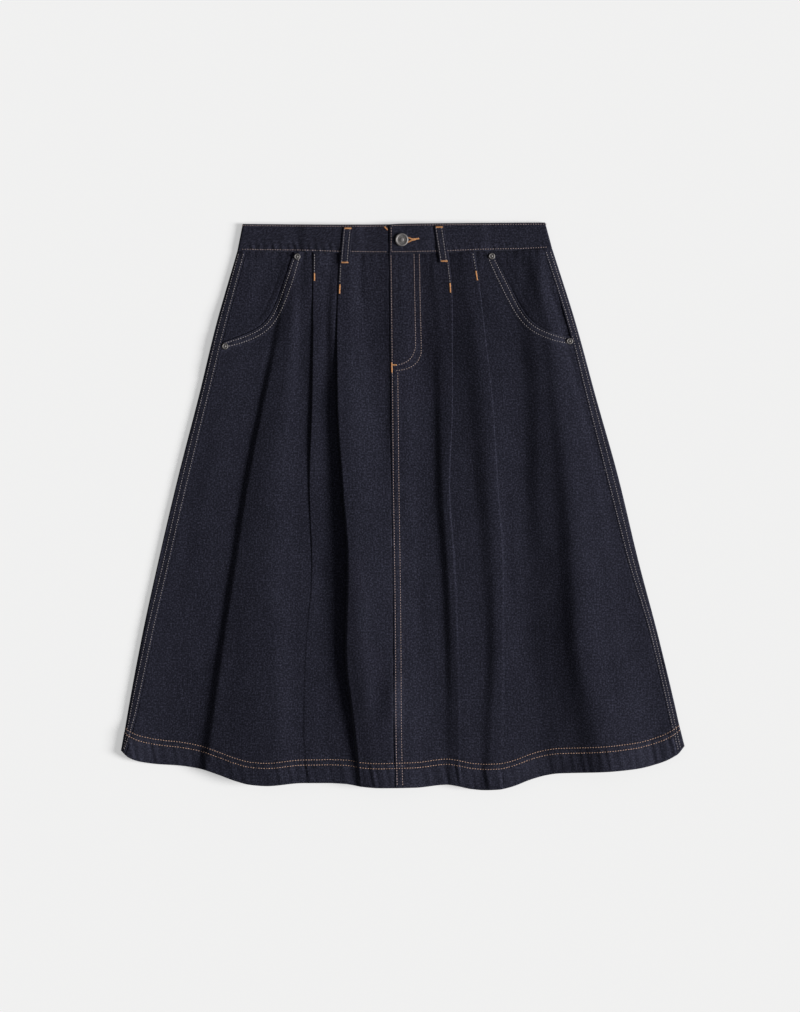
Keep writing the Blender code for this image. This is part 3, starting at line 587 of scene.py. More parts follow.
class Level:
    """The front at one drop below the waist seam."""

    UNEVEN = ((0.55, 52, 3), (0.22, 21, 5))     # height, size and seed
    HEM_LEAN = 0.22
    HEM_WAVE = 0.38
    HEM_FOLD = 0.35
    HEM_DENT = 0.34
    CENTRE_DENT = 0.3
    MOUTH_DENT = 0.28
    WAIST_PUCKER = 0.26

    def __init__(self, drop: float) -> None:
        """Read every line and tuck at this drop.

        Args:
            drop: How far below the waist seam.
        """
        self.drop = drop
        self.share = drop / LENGTH
        self.line = {name: at_drop(line.x, drop) for name, line in LINES.items()}
        self.line["right_strip"] = self.line["right_side"] + STRIP_FLAT
        self.line["left_strip"] = self.line["left_side"] - STRIP_FLAT
        self.centre = at_drop(CENTRE_FRONT, drop)
        heights = {name: at_drop(line.height, drop) for name, line in LINES.items()}
        heights.update(right_strip=0.0, left_strip=0.0)
        order = sorted(self.line, key=self.line.get)
        self.knots = [self.line[name] for name in order]
        self.heights = [heights[name] for name in order]
        self.tucks = {name: Tuck(name, drop) for name in TUCKS}
        self.fly = float(smooth_curve(*FLY_EDGE, drop))
        self.lap_wall = float(np.interp(drop, *LAP_EDGE))
        self.on_hem = float(soft_step((drop - HEM_RISE_DROP) / HEM_RISE_OVER))
        self.strip = {side: at_drop(STRIP_WIDTH[side], drop) for side in Side}

    def outer_fold(self, side: Side) -> float:
        """x of the outer fold of one side."""
        return self.line[side.label + "_side"]

    def seam(self, side: Side) -> float:
        """x of one side seam, under its strip."""
        return self.outer_fold(side) + side.value * SEAM_TUCK

    def y(self, x: Array) -> Array:
        """Where this level lies at x."""
        top = waist_y(x)
        return top + (hem_y(x) - top) * self.share

    def waist_rise(self, x: Array) -> Array:
        """How much the front climbs into the waistband, less the ditch along it.

        Args:
            x: Places across.

        Returns:
            The height at each place.
        """
        inside = np.minimum(x - self.line["right_side"], self.line["left_side"] - x)
        rise = WAIST_RISE * soft_step((inside - STRIP_FLAT) / STRIP_FLAT)
        for spot in WAIST_SPOTS:
            rise = rise - spot.sunk * spot.near(x)
        rise = np.maximum(rise, 0.0)
        ditch = np.minimum(DITCH, rise) * fall(self.drop, DITCH_FROM, DITCH_SOFT)
        return rise * fall(self.drop, 0.0, WAIST_RISE_DROP) - ditch

    def ground(self, x: Array) -> Array:
        """Top face of the cloth at x before any lap, tuck or pocket lifts it."""
        return FRONT_TOP + smooth_curve(self.knots, self.heights, x) + self.waist_rise(x)

    def pocket_lift(self, x: Array, y: Array) -> Array:
        """The front lies over the pocket facing, and its edge there is turned.

        Args:
            x: Places across.
            y: Places along.

        Returns:
            The height at each place.
        """
        near = mouth_distance(x, y)
        over = LAYER * fall(near, POCKET_FLAT, POCKET_FADE - POCKET_FLAT)
        return over + (EDGE_WALL - WALL) * fall(near, EDGE_DEPTH, EDGE_SOFT)

    def lap_lift(self, x: Array) -> Array:
        """The left front lies over the right one, and its edge and fly are double.

        Args:
            x: Places across.

        Returns:
            The height at each place.
        """
        past = x - self.centre
        lap = LAYER * fall(past - LAP, LAP_MARGIN, LAP_SOFT)
        return lap + (self.lap_wall - WALL) * fall(past - self.fly, -FLY_INSET, FLY_SOFT)

    def hem_floor(self) -> float:
        """How high the front's top face is held by the hem layers under it."""
        over = HEM_WALL + GAP + HEM_WALL - FRONT_TOP
        return FRONT_TOP + over * self.on_hem

    def settle(self, height: Array) -> Array:
        """Keep the front's top face over the hem layers under it.

        Args:
            height: Height of the front's top face.

        Returns:
            The height, held up softly.
        """
        floor = self.hem_floor()
        soft = HEM_SOFT * self.on_hem + 1e-6
        gap = height - floor
        return floor + 0.5 * (gap + np.sqrt(gap * gap + soft * soft))

    def top(self, x: Array) -> Array:
        """Top face of the uppermost layer of the front at x.

        Args:
            x: Places across.

        Returns:
            The height at each place.
        """
        y = self.y(x)
        height = self.ground(x) + self.pocket_lift(x, y)
        height = height + np.where(x >= self.centre, self.lap_lift(x), 0.0)
        for tuck in self.tucks.values():
            height = height + tuck.over(x)
        return self.settle(height) + self.relief(x, y)

    def relief(self, x: Array, y: Array) -> Array:
        """Creases, puckers along the seams and the cloth's own unevenness.

        Args:
            x: Places across.
            y: Places along.

        Returns:
            The height at each place.
        """
        total = crease_height(x, y)
        for height, size, seed in self.UNEVEN:
            total = total + height * uneven(x, y, size, seed)
        return (total + self.hem_puckers(x, y) + self.seam_puckers(x, y)
                + self.strip_ridges(x) + self.lap_swell(x) + self.tuck_swells(x))

    def strip_ridges(self, x: Array) -> Array:
        """The seam allowances swell the front beside each side strip.

        Args:
            x: Places across.

        Returns:
            The height at each place.
        """
        total = np.zeros(np.shape(x))
        for side, strip in STRIPS.items():
            inset = (x - self.outer_fold(side)) * side.value
            inward = inset - self.strip[side]
            beyond = np.maximum(inward - STRIP_BRINK, 0)
            swell = (strip.lift * soft_step(inset / self.strip[side])
                     + strip.rise * soft_step(inward / STRIP_BRINK)
                     + strip.lean * (1 - np.exp(-beyond / STRIP_LEAN_OVER)))
            total = total + swell * hump(beyond, strip.fade)
        return total

    def tuck_swells(self, x: Array) -> Array:
        """The layers inside a tuck swell the cloth that its fold lies on.

        Args:
            x: Places across.

        Returns:
            The height at each place.
        """
        total = np.zeros(np.shape(x))
        for name, (drops, *columns) in TUCK_SWELLS.items():
            height, reach = (float(smooth_curve(drops, column, self.drop)) for column in columns)
            tuck = self.tucks[name]
            below = (tuck.edge - x) * tuck.toward - tuck.radius - GAP
            total = total + height * soft_step(below / 0.8) * hump(below, reach)
        return total

    def lap_swell(self, x: Array) -> Array:
        """What lies under the lap swells the right front beside the lap's edge.

        Args:
            x: Places across.

        Returns:
            The height at each place.
        """
        past = np.maximum(self.centre - x, 0.0)
        tall = float(np.interp(self.drop, *LAP_SWELL))
        return tall * soft_step(past) * np.exp(-np.maximum(past - 1, 0) / 6.0)

    def hem_puckers(self, x: Array, y: Array) -> Array:
        """The roping of the hem and the dents along its two rows.

        Args:
            x: Places across.
            y: Places along.

        Returns:
            The height at each place.
        """
        depth = along(HEM_DEPTH, x)
        up = y - hem_y(x)
        lean = x + self.HEM_LEAN * up
        strength = 0.65 + 0.35 * uneven(x, y * 0, 34, 11)
        wave = (ripple(lean, 11.3, x, 2.2, 27, 12) + 0.6 * ripple(lean, 6.9, x, 1.9, 19, 13))
        inside = soft_step(up / 3.0) * fall(up - depth, -9, 12.0)
        fold = self.HEM_FOLD * hump(up - depth - HEM_WALL, HEM_WALL)
        rows = sum(-self.HEM_DENT * hump(up - depth + HEM_ROW_PITCH * k, 1.3) for k in (0, 1))
        return self.HEM_WAVE * strength * wave * inside + rows - fold

    def seam_puckers(self, x: Array, y: Array) -> Array:
        """Small puckers along the centre front, the fly, the pocket mouths and the waist.

        Args:
            x: Places across.
            y: Places along.

        Returns:
            The height at each place.
        """
        past = x - self.centre
        sewn = (1.0, float(soft_step((self.drop - CF_SECOND_FROM + 3) / 6)))
        centre = sum(-self.CENTRE_DENT * share * hump(past - row, 1.2)
                     for row, share in zip(CF_ROWS, sewn))
        swell = hump(past - 5.2, 4.5)
        centre = centre + 0.2 * swell * ripple(y, 9.1, y, 2.4, 31, 21)
        near = mouth_distance(x, y)
        mouth = sum(-self.MOUTH_DENT * hump(near - row, 1.3) for row in MOUTH_DENTS)
        mouth = mouth + 0.16 * hump(near - 5.3, 4) * np.sin((x - 1.4 * y) * 0.72)
        below = np.exp(-self.drop / 13.0)
        waist = self.WAIST_PUCKER * below * ripple(x, 9.7, x, 2.6, 23, 31)
        return np.where(past > -0.5, centre, 0.0) + mouth + waist


class FrontMap:
    """Top face of the whole front on a fine grid, for what is sewn onto it."""

    X_STEP = 0.5
    DROP_STEP = 1.25

    def __init__(self) -> None:
        """Work out the grid."""
        self.x = np.arange(-340, 340 + self.X_STEP, self.X_STEP)
        self.drops = np.arange(0, LENGTH + self.DROP_STEP, self.DROP_STEP)
        self.heights = np.array([Level(min(drop, LENGTH)).top(self.x) for drop in self.drops])

    def height(self, x: Array, y: Array) -> Array:
        """The top face at places (x, y).

        Args:
            x: Places across.
            y: Places along.

        Returns:
            The height at each place.
        """
        x, y = np.asarray(x, float), np.asarray(y, float)
        top = waist_y(x)
        drop = np.clip(LENGTH * (top - y) / (top - hem_y(x)), 0, LENGTH)
        u = np.clip((x - self.x[0]) / self.X_STEP, 0, len(self.x) - 1.001)
        v = np.clip(drop / self.DROP_STEP, 0, len(self.drops) - 1.001)
        i, j = u.astype(int), v.astype(int)
        a, b = u - i, v - j
        low = self.heights[j, i] * (1 - a) + self.heights[j, i + 1] * a
        high = self.heights[j + 1, i] * (1 - a) + self.heights[j + 1, i + 1] * a
        return low * (1 - b) + high * b

    def normal(self, x: Array, y: Array) -> Array:
        """The way up from the top face at places (x, y).

        Args:
            x: Places across.
            y: Places along.

        Returns:
            A unit way up for each place.
        """
        reach = 0.8
        dx = (self.height(x + reach, y) - self.height(x - reach, y)) / (2 * reach)
        dy = (self.height(x, y + reach) - self.height(x, y - reach)) / (2 * reach)
        up = np.stack((-np.clip(dx, -1, 1), -np.clip(dy, -1, 1), np.ones_like(dx)), -1)
        return up / np.linalg.norm(up, axis=-1, keepdims=True)


# ---------------------------------------------------------------------------------------------
# Finishes

class Nodes:
    """A material that is put together node by node."""

    def __init__(self, name: str) -> None:
        """Start from a Principled shader.

        Args:
            name: The material's name.
        """
        self.material = bpy.data.materials.new(name)
        self.material.use_nodes = True
        self.tree = self.material.node_tree
        self.shader = self.tree.nodes["Principled BSDF"]

    def add(self, kind: str, inputs: dict | None = None, **settings: object) -> bpy.types.Node:
        """Add a node, with values or sockets on its named inputs.

        Args:
            kind: The node's kind, without the word ShaderNode.
            inputs: Values or sockets by input.
            settings: Properties of the node.

        Returns:
            The node.
        """
        node = self.tree.nodes.new("ShaderNode" + kind)
        for name, value in settings.items():
            setattr(node, name, value)
        for name, value in (inputs or {}).items():
            self.put(node, name, value)
        return node

    def put(self, node: bpy.types.Node, name: str | int, value: object) -> None:
        """Set an input, or link it where the value is a socket.

        Args:
            node: The node.
            name: The input's name or number.
            value: A value or a socket.
        """
        if isinstance(value, bpy.types.NodeSocket):
            self.tree.links.new(value, node.inputs[name])
        else:
            node.inputs[name].default_value = value

    def math(self, operation: str, *values: object) -> bpy.types.NodeSocket:
        """The result of a Math node."""
        node = self.add("Math", dict(enumerate(values)), operation=operation)
        return node.outputs[0]

    def total(self, *parts: tuple[bpy.types.NodeSocket, float]) -> bpy.types.NodeSocket:
        """The sum of values, each with its weight.

        Args:
            parts: Sockets with their weights.

        Returns:
            The sum.
        """
        value, weight = parts[0]
        so_far = self.math("MULTIPLY", value, weight)
        for value, weight in parts[1:]:
            so_far = self.math("MULTIPLY_ADD", value, weight, so_far)
        return so_far

    def noise(self, place: bpy.types.NodeSocket, scale: tuple, detail: float = 2.0,
              rough: float = 0.5) -> bpy.types.NodeSocket:
        """Noise that is stretched by a scale for each way.

        Args:
            place: Where it is read.
            scale: Its scale each way.
            detail: Its detail.
            rough: Its roughness.

        Returns:
            The noise.
        """
        moved = self.add("Mapping", {"Vector": place, "Scale": scale})
        made = self.add("TexNoise", {"Vector": moved.outputs[0], "Scale": 1.0,
                                     "Detail": detail, "Roughness": rough})
        return made.outputs["Fac"]

    def ramp(self, value: bpy.types.NodeSocket, *stops: tuple) -> bpy.types.NodeSocket:
        """A colour ramp through stops of (place, colour).

        Args:
            value: Where on the ramp.
            stops: Places and colours.

        Returns:
            The colour.
        """
        node = self.add("ValToRGB", {"Fac": value})
        elements = node.color_ramp.elements
        while len(elements) < len(stops):
            elements.new(0.5)
        for element, (place, colour) in zip(elements, stops):
            element.position = place
            element.color = (*colour, 1.0)
        return node.outputs["Color"]

    def mix(self, share: object, first: object, second: object,
            blend: str = "MIX") -> bpy.types.NodeSocket:
        """Two colours mixed.

        Args:
            share: How much of the second.
            first: A colour.
            second: The other colour.
            blend: How they are blended.

        Returns:
            The mixed colour.
        """
        node = self.add("Mix", data_type="RGBA", blend_type=blend)
        for index, value in ((0, share), (6, first), (7, second)):
            if isinstance(value, tuple):
                value = (*value, 1.0)
            self.put(node, index, value)
        return node.outputs[2]

    def finish(self, **sockets: object) -> bpy.types.Material:
        """Put values or sockets on the shader's inputs.

        Args:
            sockets: Values or sockets by input.

        Returns:
            The material.
        """
        for name, value in sockets.items():
            self.put(self.shader, name.replace("_", " "), value)
        return self.material


@dataclass(frozen=True)
class DenimFinish:
    """Raw dark indigo twill: fine diagonal wales, uneven warp yarns and a matt face."""

    name: str
    deep: tuple = (0.0018, 0.0019, 0.0052)
    body: tuple = (0.0078, 0.0080, 0.0154)
    lift: tuple = (0.034, 0.0345, 0.0555)
    worn: tuple = (0.046, 0.047, 0.072)
    wale: float = 0.0013
    bump: float = 0.00022
    sheen: float = 0.045

    def material(self) -> bpy.types.Material:
        """Build the material on the cloth's own UV map, which is in metres.

        Returns:
            The material.
        """
        n = Nodes(self.name)
        cloth = n.add("UVMap", uv_map="cloth").outputs[0]
        turned = n.add("Mapping", {"Vector": cloth, "Rotation": (0.0, 0.0, radians(28))})
        twill = n.add("TexWave", {"Vector": turned.outputs[0], "Scale": 2 * pi / 20 / self.wale,
                                  "Distortion": 2.2, "Detail": 2.0, "Detail Scale": 1.6},
                      wave_type="BANDS", bands_direction="X").outputs["Fac"]
        warp = n.noise(cloth, (820.0, 60.0, 1.0), 2.0, 0.5)
        slub = n.noise(cloth, (210.0, 14.0, 1.0), 2.0, 0.5)
        weft = n.noise(cloth, (90.0, 760.0, 1.0), 2.0, 0.5)
        speck = n.noise(cloth, (520.0, 480.0, 1.0), 1.0, 0.5)
        blotch = n.noise(cloth, (46.0, 36.0, 1.0), 3.0, 0.55)
        tone = n.total((speck, 0.58), (warp, 0.18), (weft, 0.06), (twill, 0.06), (slub, 0.05),
                       (blotch, 0.07))
        colour = n.ramp(tone, (0.34, self.deep), (0.50, self.body), (0.72, self.lift))
        wear = n.add("Attribute", attribute_name="wear").outputs["Fac"]
        patchy = n.math("MULTIPLY", wear, n.math("MULTIPLY_ADD", speck, 0.9, 0.1))
        colour = n.mix(patchy, colour, self.worn)
        relief = n.total((twill, 0.5), (speck, 0.4), (warp, 0.35))
        bump = n.add("Bump", {"Height": relief, "Strength": 0.85, "Distance": self.bump})
        return n.finish(Base_Color=colour, Normal=bump.outputs[0], Roughness=0.9,
                        Specular_IOR_Level=0.12, Sheen_Weight=self.sheen,
                        Sheen_Roughness=0.45)


@dataclass(frozen=True)
class ThreadFinish:
    """Corespun topstitching thread, plied and slightly glossy."""

    name: str
    dark: tuple
    light: tuple

    def material(self) -> bpy.types.Material:
        """Build the material on Object coordinates.

        Returns:
            The material.
        """
        n = Nodes(self.name)
        place = n.add("TexCoord").outputs["Object"]
        ply = n.add("TexWave", {"Vector": place, "Scale": 900.0, "Distortion": 3.0,
                                "Detail": 1.0}, wave_type="BANDS",
                    bands_direction="DIAGONAL").outputs["Fac"]
        along_seam = n.noise(place, (190.0, 190.0, 190.0), 2.0, 0.6)
        tone = n.math("ADD", n.math("MULTIPLY", ply, 0.3), n.math("MULTIPLY", along_seam, 0.7))
        colour = n.ramp(tone, (0.28, self.dark), (0.72, self.light))
        bump = n.add("Bump", {"Height": ply, "Strength": 0.4, "Distance": 0.00008})
        return n.finish(Base_Color=colour, Normal=bump.outputs[0], Roughness=0.55,
                        Specular_IOR_Level=0.35, Sheen_Weight=0.15)


@dataclass(frozen=True)
class MetalFinish:
    """Aged gunmetal with stains, painted darker below its top as shade in its hollows, and brighter
    at its top where it rubs.
    """

    name: str
    hollow: tuple = (0.10, 0.096, 0.094)
    rubbed: tuple = (0.25, 0.235, 0.232)

    def material(self) -> bpy.types.Material:
        """Build the material on Object coordinates and on an attribute of rubbing and painted
        shade.

        Returns:
            The material.
        """
        n = Nodes(self.name)
        place = n.add("TexCoord").outputs["Object"]
        stain = n.noise(place, (1500.0, 1500.0, 1500.0), 3.0, 0.6)
        pits = n.noise(place, (2600.0, 2600.0, 2600.0), 2.0, 0.5)
        wear = n.add("Attribute", attribute_name="wear").outputs["Fac"]
        # painted shade: the height mask darkens the lower parts, mixed with real stains
        share = n.math("SUBTRACT", n.math("ADD", n.math("MULTIPLY", wear, 0.6),
                                          n.math("MULTIPLY", stain, 0.9)), 0.25)
        share.node.use_clamp = True
        colour = n.mix(share, self.hollow, self.rubbed)
        rough = n.math("ADD", n.math("MULTIPLY", stain, 0.25), 0.44)
        bump = n.add("Bump", {"Height": pits, "Strength": 0.7, "Distance": 0.0003})
        return n.finish(Base_Color=colour, Metallic=0.95, Roughness=rough,
                        Normal=bump.outputs[0])


class Finishes:
    """Every finish of the skirt, made once."""

    def __init__(self) -> None:
        """Build the materials."""
        self.denim = DenimFinish("dark_denim").material()
        self.reverse = DenimFinish("denim_reverse", deep=(0.03, 0.032, 0.042),
                                   body=(0.085, 0.09, 0.11), lift=(0.2, 0.2, 0.22),
                                   worn=(0.25, 0.25, 0.26)).material()
        self.copper = ThreadFinish("copper_thread", (0.15, 0.105, 0.090),
                                   (0.33, 0.245, 0.235)).material()
        self.amber = ThreadFinish("amber_thread", (0.20, 0.125, 0.090),
                                  (0.50, 0.31, 0.22)).material()
        self.grey = ThreadFinish("grey_thread", (0.095, 0.083, 0.088),
                                 (0.25, 0.225, 0.23)).material()
        self.satin = ThreadFinish("satin_thread", (0.30, 0.13, 0.046),
                                   (0.74, 0.35, 0.13)).material()
        self.metal = MetalFinish("aged_metal").material()


# ---------------------------------------------------------------------------------------------
# Making pieces

@dataclass
class Patch:
    """A sheet of cloth as rows of points, with its wall, its place on the cloth and its wear."""

    x: Array
    y: Array
    z: Array
    wall: Array
    u: Array
    v: Array
    wear: Array
    faces_away: bool = False

    def build(self, name: str, finishes: Finishes, thickest: float) -> bpy.types.Object:
        """Make the sheet as a piece.

        Args:
            name: The piece's name.
            finishes: The skirt's finishes.
            thickest: The thickest wall, which the wall's shares refer to.

        Returns:
            The piece, with its wall and rounded rims as modifiers.
        """
        rows, columns = self.x.shape
        grid = bmesh.new()
        bmesh.ops.create_grid(grid, x_segments=columns - 1, y_segments=rows - 1, size=1)
        across = self.x[0, -1] > self.x[0, 0]
        down = self.y[0, 0] > self.y[-1, 0]
        if (across == down) != self.faces_away:
            bmesh.ops.reverse_faces(grid, faces=grid.faces)
        mesh = mesh_of(name, grid)
        places = np.stack((self.x, self.y, self.z), -1).reshape(-1, 3) * MM
        mesh.vertices.foreach_set("co", places.astype(np.float32).ravel())
        corner = np.empty(len(mesh.loops), np.int32)
        mesh.loops.foreach_get("vertex_index", corner)
        flat = np.stack((self.u, self.v), -1).reshape(-1, 2) * MM
        layer = mesh.uv_layers.new(name="cloth")
        layer.uv.foreach_set("vector", flat[corner].astype(np.float32).ravel())
        set_wear(mesh, self.wear)
        mesh.polygons.foreach_set("use_smooth", np.ones(len(mesh.polygons), bool))
        mesh.materials.append(finishes.denim)
        mesh.materials.append(finishes.reverse)
        thing = in_scene(name, mesh)
        group = thing.vertex_groups.new(name="wall")
        shares = np.round(self.wall.ravel() / thickest, 3)
        for share in np.unique(shares):
            group.add(np.flatnonzero(shares == share).tolist(), float(share), "REPLACE")
        wall = thing.modifiers.new("wall", "SOLIDIFY")
        wall.thickness = thickest * MM
        wall.offset = 0.0
        wall.vertex_group = "wall"
        wall.use_even_offset = True
        wall.use_quality_normals = True
        wall.material_offset = 1
        rim = thing.modifiers.new("rim", "BEVEL")
        rim.limit_method = "ANGLE"
        rim.angle_limit = radians(62)
        rim.offset_type = "PERCENT"
        rim.width_pct = 38
        rim.segments = 2
        rim.miter_outer = "MITER_SHARP"
        return thing


def mesh_of(name: str, shape: bmesh.types.BMesh) -> bpy.types.Mesh:
    """A shape as a mesh.

    Args:
        name: The mesh's name.
        shape: The shape, which is freed.

    Returns:
        The mesh.
    """
    mesh = bpy.data.meshes.new(name)
    shape.to_mesh(mesh)
    shape.free()
    return mesh


def in_scene(name: str, data: bpy.types.ID) -> bpy.types.Object:
    """A new object in the scene.

    Args:
        name: The object's name.
        data: Its mesh, lamp or camera.

    Returns:
        The object.
    """
    thing = bpy.data.objects.new(name, data)
    bpy.context.scene.collection.objects.link(thing)
    return thing


def set_wear(mesh: bpy.types.Mesh, wear: Array) -> None:
    """Keep each vertex's wear, which on metal is rubbing and painted shade, as an attribute."""
    layer = mesh.attributes.new("wear", "FLOAT", "POINT")
    layer.data.foreach_set("value", wear.astype(np.float32).ravel())


def row_length(x: Array, z: Array) -> Array:
    """Length along each row of cloth from its first point."""
    step = np.hypot(np.diff(x, axis=1), np.diff(z, axis=1))
    return np.hstack((np.zeros((len(x), 1)), np.cumsum(step, axis=1)))


def dress(piece: bpy.types.Object, slot: str, *nodes: str) -> bpy.types.Object:
    """Let a piece ride on the skirt, in the place of solids.

    Args:
        piece: The piece.
        slot: Not used.
        nodes: The solids that it stands for.

    Returns:
        The piece.
    """
    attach(piece, BODY)
    if nodes:
        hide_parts(*nodes)
    LOG.info("%s: %d faces", piece.name, len(piece.data.polygons))
    return piece


def run_rows(start: float, runs: Sequence[Run]) -> Array:
    """Rows with their own spacing in each run.

    Args:
        start: Drop of the first row.
        runs: The runs that follow.

    Returns:
        The drop of each row.
    """
    rows = [start]
    for run in runs:
        count = max(1, round((run.end - rows[-1]) / run.step))
        rows += list(np.linspace(rows[-1], run.end, count + 1)[1:])
    return np.array(rows)


def spread(stretches: Sequence[tuple[str, int]], stops: dict, start: float) -> list[float]:
    """x of each column from start on, with so many columns up to each named stop.

    Args:
        stretches: Names of stops, with how many columns lead up to each.
        stops: x of each stop.
        start: x before the first column.

    Returns:
        x of each column.
    """
    places = []
    here = start
    for line, columns in stretches:
        there = stops[line]
        places += [here + (there - here) * (k + 1) / columns for k in range(columns)]
        here = there
    return places


@dataclass
class FrontPanel:
    """One front panel with its two tucks, cut away along the pocket mouth."""

    side: Side
    stretches: tuple
    runs: tuple = (Run(14, 1.6), Run(128, 1.95), Run(592, 3.9), Run(LENGTH, 1.5))
    worn: float = 0.10
    rub: float = 0.35       # how much more the ridges are worn

    @property
    def name(self) -> str:
        """The panel's name."""
        return f"{self.side.label}_front"

    def edge(self, level: Level) -> float:
        """x of the panel's outer edge: the pocket mouth, or under the side seam below it.

        Args:
            level: The front at one drop.

        Returns:
            x of the edge.
        """
        toward = self.side.value
        seam = level.seam(self.side)
        x = seam
        for _ in range(CROSSING_STEPS):
            x = float(mouth_x(self.side, level.y(np.array(x))))
        return max(seam * toward, x * toward) * toward

    def row(self, drop: float) -> tuple[Array, Array, Array, Array, Array]:
        """One row of the panel.

        Args:
            drop: How far below the waist seam it lies.

        Returns:
            x, y and the cloth's middle height, its wall and its wear for each column.
        """
        level = Level(drop)
        toward = self.side.value
        tucks = [level.tucks[name] for name in OWN_TUCKS[self.side]]
        others = [tuck for name, tuck in level.tucks.items() if name not in OWN_TUCKS[self.side]]
        seam = level.seam(self.side)
        edge = self.edge(level)
        centre = level.centre + (LAP if toward > 0 else 0)
        sewn = level.outer_fold(self.side) + toward * level.strip[self.side]
        stops = dict(level.line, lap=level.centre + LAP, sewn=sewn,
                     brink=sewn + toward * STRIP_BRINK)
        ends = [tuck.start for tuck in tucks] + [centre]
        starts = [seam] + [tuck.edge for tuck in tucks]
        xs, rises, passed_by = [seam], [0.0], [0]
        for passed, stretches in enumerate(self.stretches):
            stops["end"] = ends[passed]
            if passed:
                stops["flat"] = starts[passed] + toward * tucks[passed - 1].flat
            places = spread(stretches, stops, starts[passed])
            xs += places
            rises += [0.0] * len(places)
            passed_by += [passed] * len(places)
            if passed < len(tucks):
                turned_x, turned_rise = zip(*tucks[passed].path())
                xs += turned_x
                rises += turned_rise
                passed_by += [passed] * len(turned_x)
        x, rise, done = np.array(xs), np.array(rises), np.array(passed_by)
        outer = (done == 0) & ((x - ends[0]) * toward <= 0) & (rise == 0)
        x[outer] = edge + (x[outer] - seam) * (ends[0] - edge) / (ends[0] - seam)
        y = level.y(x)
        height = level.ground(x) + rise + level.pocket_lift(x, y)
        for index, tuck in enumerate(tucks):
            height = height + np.where(done > index, tuck.lift(x), 0.0)
        for tuck in others:
            height = height + np.where((x - tuck.edge) * tuck.toward > 0, tuck.lift(x), 0.0)
        if toward < 0:
            height = height + level.lap_lift(x)
        relief = level.relief(x, y)
        height = level.settle(height) + relief
        wall = self.wall(level, x, y)
        wear = np.clip(self.worn + self.rub * relief, 0, self.rub)
        return x, y, height - wall / 2, wall, wear * self.near_seams(level, x, y)

    def wall(self, level: Level, x: Array, y: Array) -> Array:
        """How thick the cloth is: turned edges and the hem are double or more.

        Args:
            level: The front at one drop.
            x: Places across.
            y: Places along.

        Returns:
            The wall at each place.
        """
        wall = np.full(x.shape, WALL)
        edge = fall(mouth_distance(x, y, self.side), EDGE_DEPTH, EDGE_STEP)
        wall = np.maximum(wall, WALL + (EDGE_WALL - WALL) * edge)
        if self.side is Side.LEFT:
            lap = fall(x - level.centre, EDGE_DEPTH, EDGE_STEP)
            wall = np.maximum(wall, WALL + (level.lap_wall - WALL) * lap)
        hem = fall(y - hem_y(x), along(HEM_DEPTH, x), EDGE_STEP)
        return np.maximum(wall, WALL + (HEM_WALL - WALL) * hem)

    def near_seams(self, level: Level, x: Array, y: Array) -> Array:
        """1 on sewn edges and the hem, less on the open cloth.

        Args:
            level: The front at one drop.
            x: Places across.
            y: Places along.

        Returns:
            The share at each place.
        """
        hem = fall(y - hem_y(x), 26, 8)
        mouth = fall(mouth_distance(x, y, self.side), 8, 6)
        lap = fall(np.abs(x - level.centre - 5), 4, 6)
        return 0.25 + 0.75 * np.maximum(np.maximum(hem, mouth), lap)

    def build(self, finishes: Finishes) -> bpy.types.Object:
        """Make the panel.

        Args:
            finishes: The skirt's finishes.

        Returns:
            The panel.
        """
        rows = [self.row(drop) for drop in run_rows(0.0, self.runs)]
        x, y, z, wall, wear = (np.array(part) for part in zip(*rows))
        length = row_length(x, z)
        u = (length - length[:, -1:]) * self.side.value
        piece = Patch(x, y, z, wall, u, y, wear).build(self.name, finishes, HEM_WALL)
        return dress(piece, "denim", f"front_panel_{self.side.label}")


@dataclass
class PocketFacing:
    """The hip piece that shows inside a pocket mouth and runs on under the front."""

    side: Side
    columns: int = 72
    crowd: float = 1.3      # the columns lie closer together towards the side seam
    row_step: float = 1.9
    depth: float = 140.0
    reach: float = 60.0
    least: float = 9.0      # it ends where it is narrower than this
    swells: tuple = (1.2, 0.6)      # how far it stands up beside the mouth, right and left
    swell_reach: float = 16.0

    def boundary(self) -> Array:
        """The mouth moved inwards by the underlap, as points from the waist down.

        Returns:
            Its points.
        """
        mouth = MOUTHS[self.side]
        travel, inward = mouth_ways(mouth, self.side)
        moved = mouth + inward * POCKET_UNDERLAP
        up = moved[0] - travel[0] * MOUTH_RUN_OUT
        return np.vstack((up, moved))

    def build(self, finishes: Finishes) -> bpy.types.Object:
        """Make the facing.

        Args:
            finishes: The skirt's finishes.

        Returns:
            The facing.
        """
        toward = self.side.value
        boundary = self.boundary()[::-1]
        rows = []
        for drop in np.arange(0.0, self.depth, self.row_step):
            level = Level(float(drop))
            seam = level.seam(self.side)
            inner = seam + toward * self.reach
            for _ in range(CROSSING_STEPS):
                inner = float(np.interp(level.y(np.array(inner)), boundary[:, 1],
                                        boundary[:, 0]))
            if (inner - seam) * toward < self.least:
                break
            x = seam + (inner - seam) * np.linspace(0, 1, self.columns) ** self.crowd
            y = level.y(x)
            height = level.ground(x) + level.strip_ridges(x)
            near = mouth_distance(x, y, self.side)
            shown = (mouth_x(self.side, y) - x) * toward > 0
            relief = (level.relief(x, y) - level.strip_ridges(x)) * soft_step((near - 2) / 8)
            swell = self.swells[self.side is Side.LEFT] * float(soft_step(drop / 2.5))
            relief = relief + (swell * soft_step((near - GAP) / 1.6)
                               * hump(near, self.swell_reach))
            relief = np.where(shown, relief, 0.0)
            wear = np.full(x.shape, 0.04)
            rows.append((x, y, height + relief - WALL / 2, np.full(x.shape, WALL), wear))
        x, y, z, wall, wear = (np.array(part) for part in zip(*rows))
        u = row_length(x, z) * toward + x[:, :1]
        piece = Patch(x, y, z, wall, u, y, wear).build(f"{self.side.label}_pocket_facing",
                                                       finishes, WALL)
        return dress(piece, "denim", f"pocket_facing_{self.side.label}")


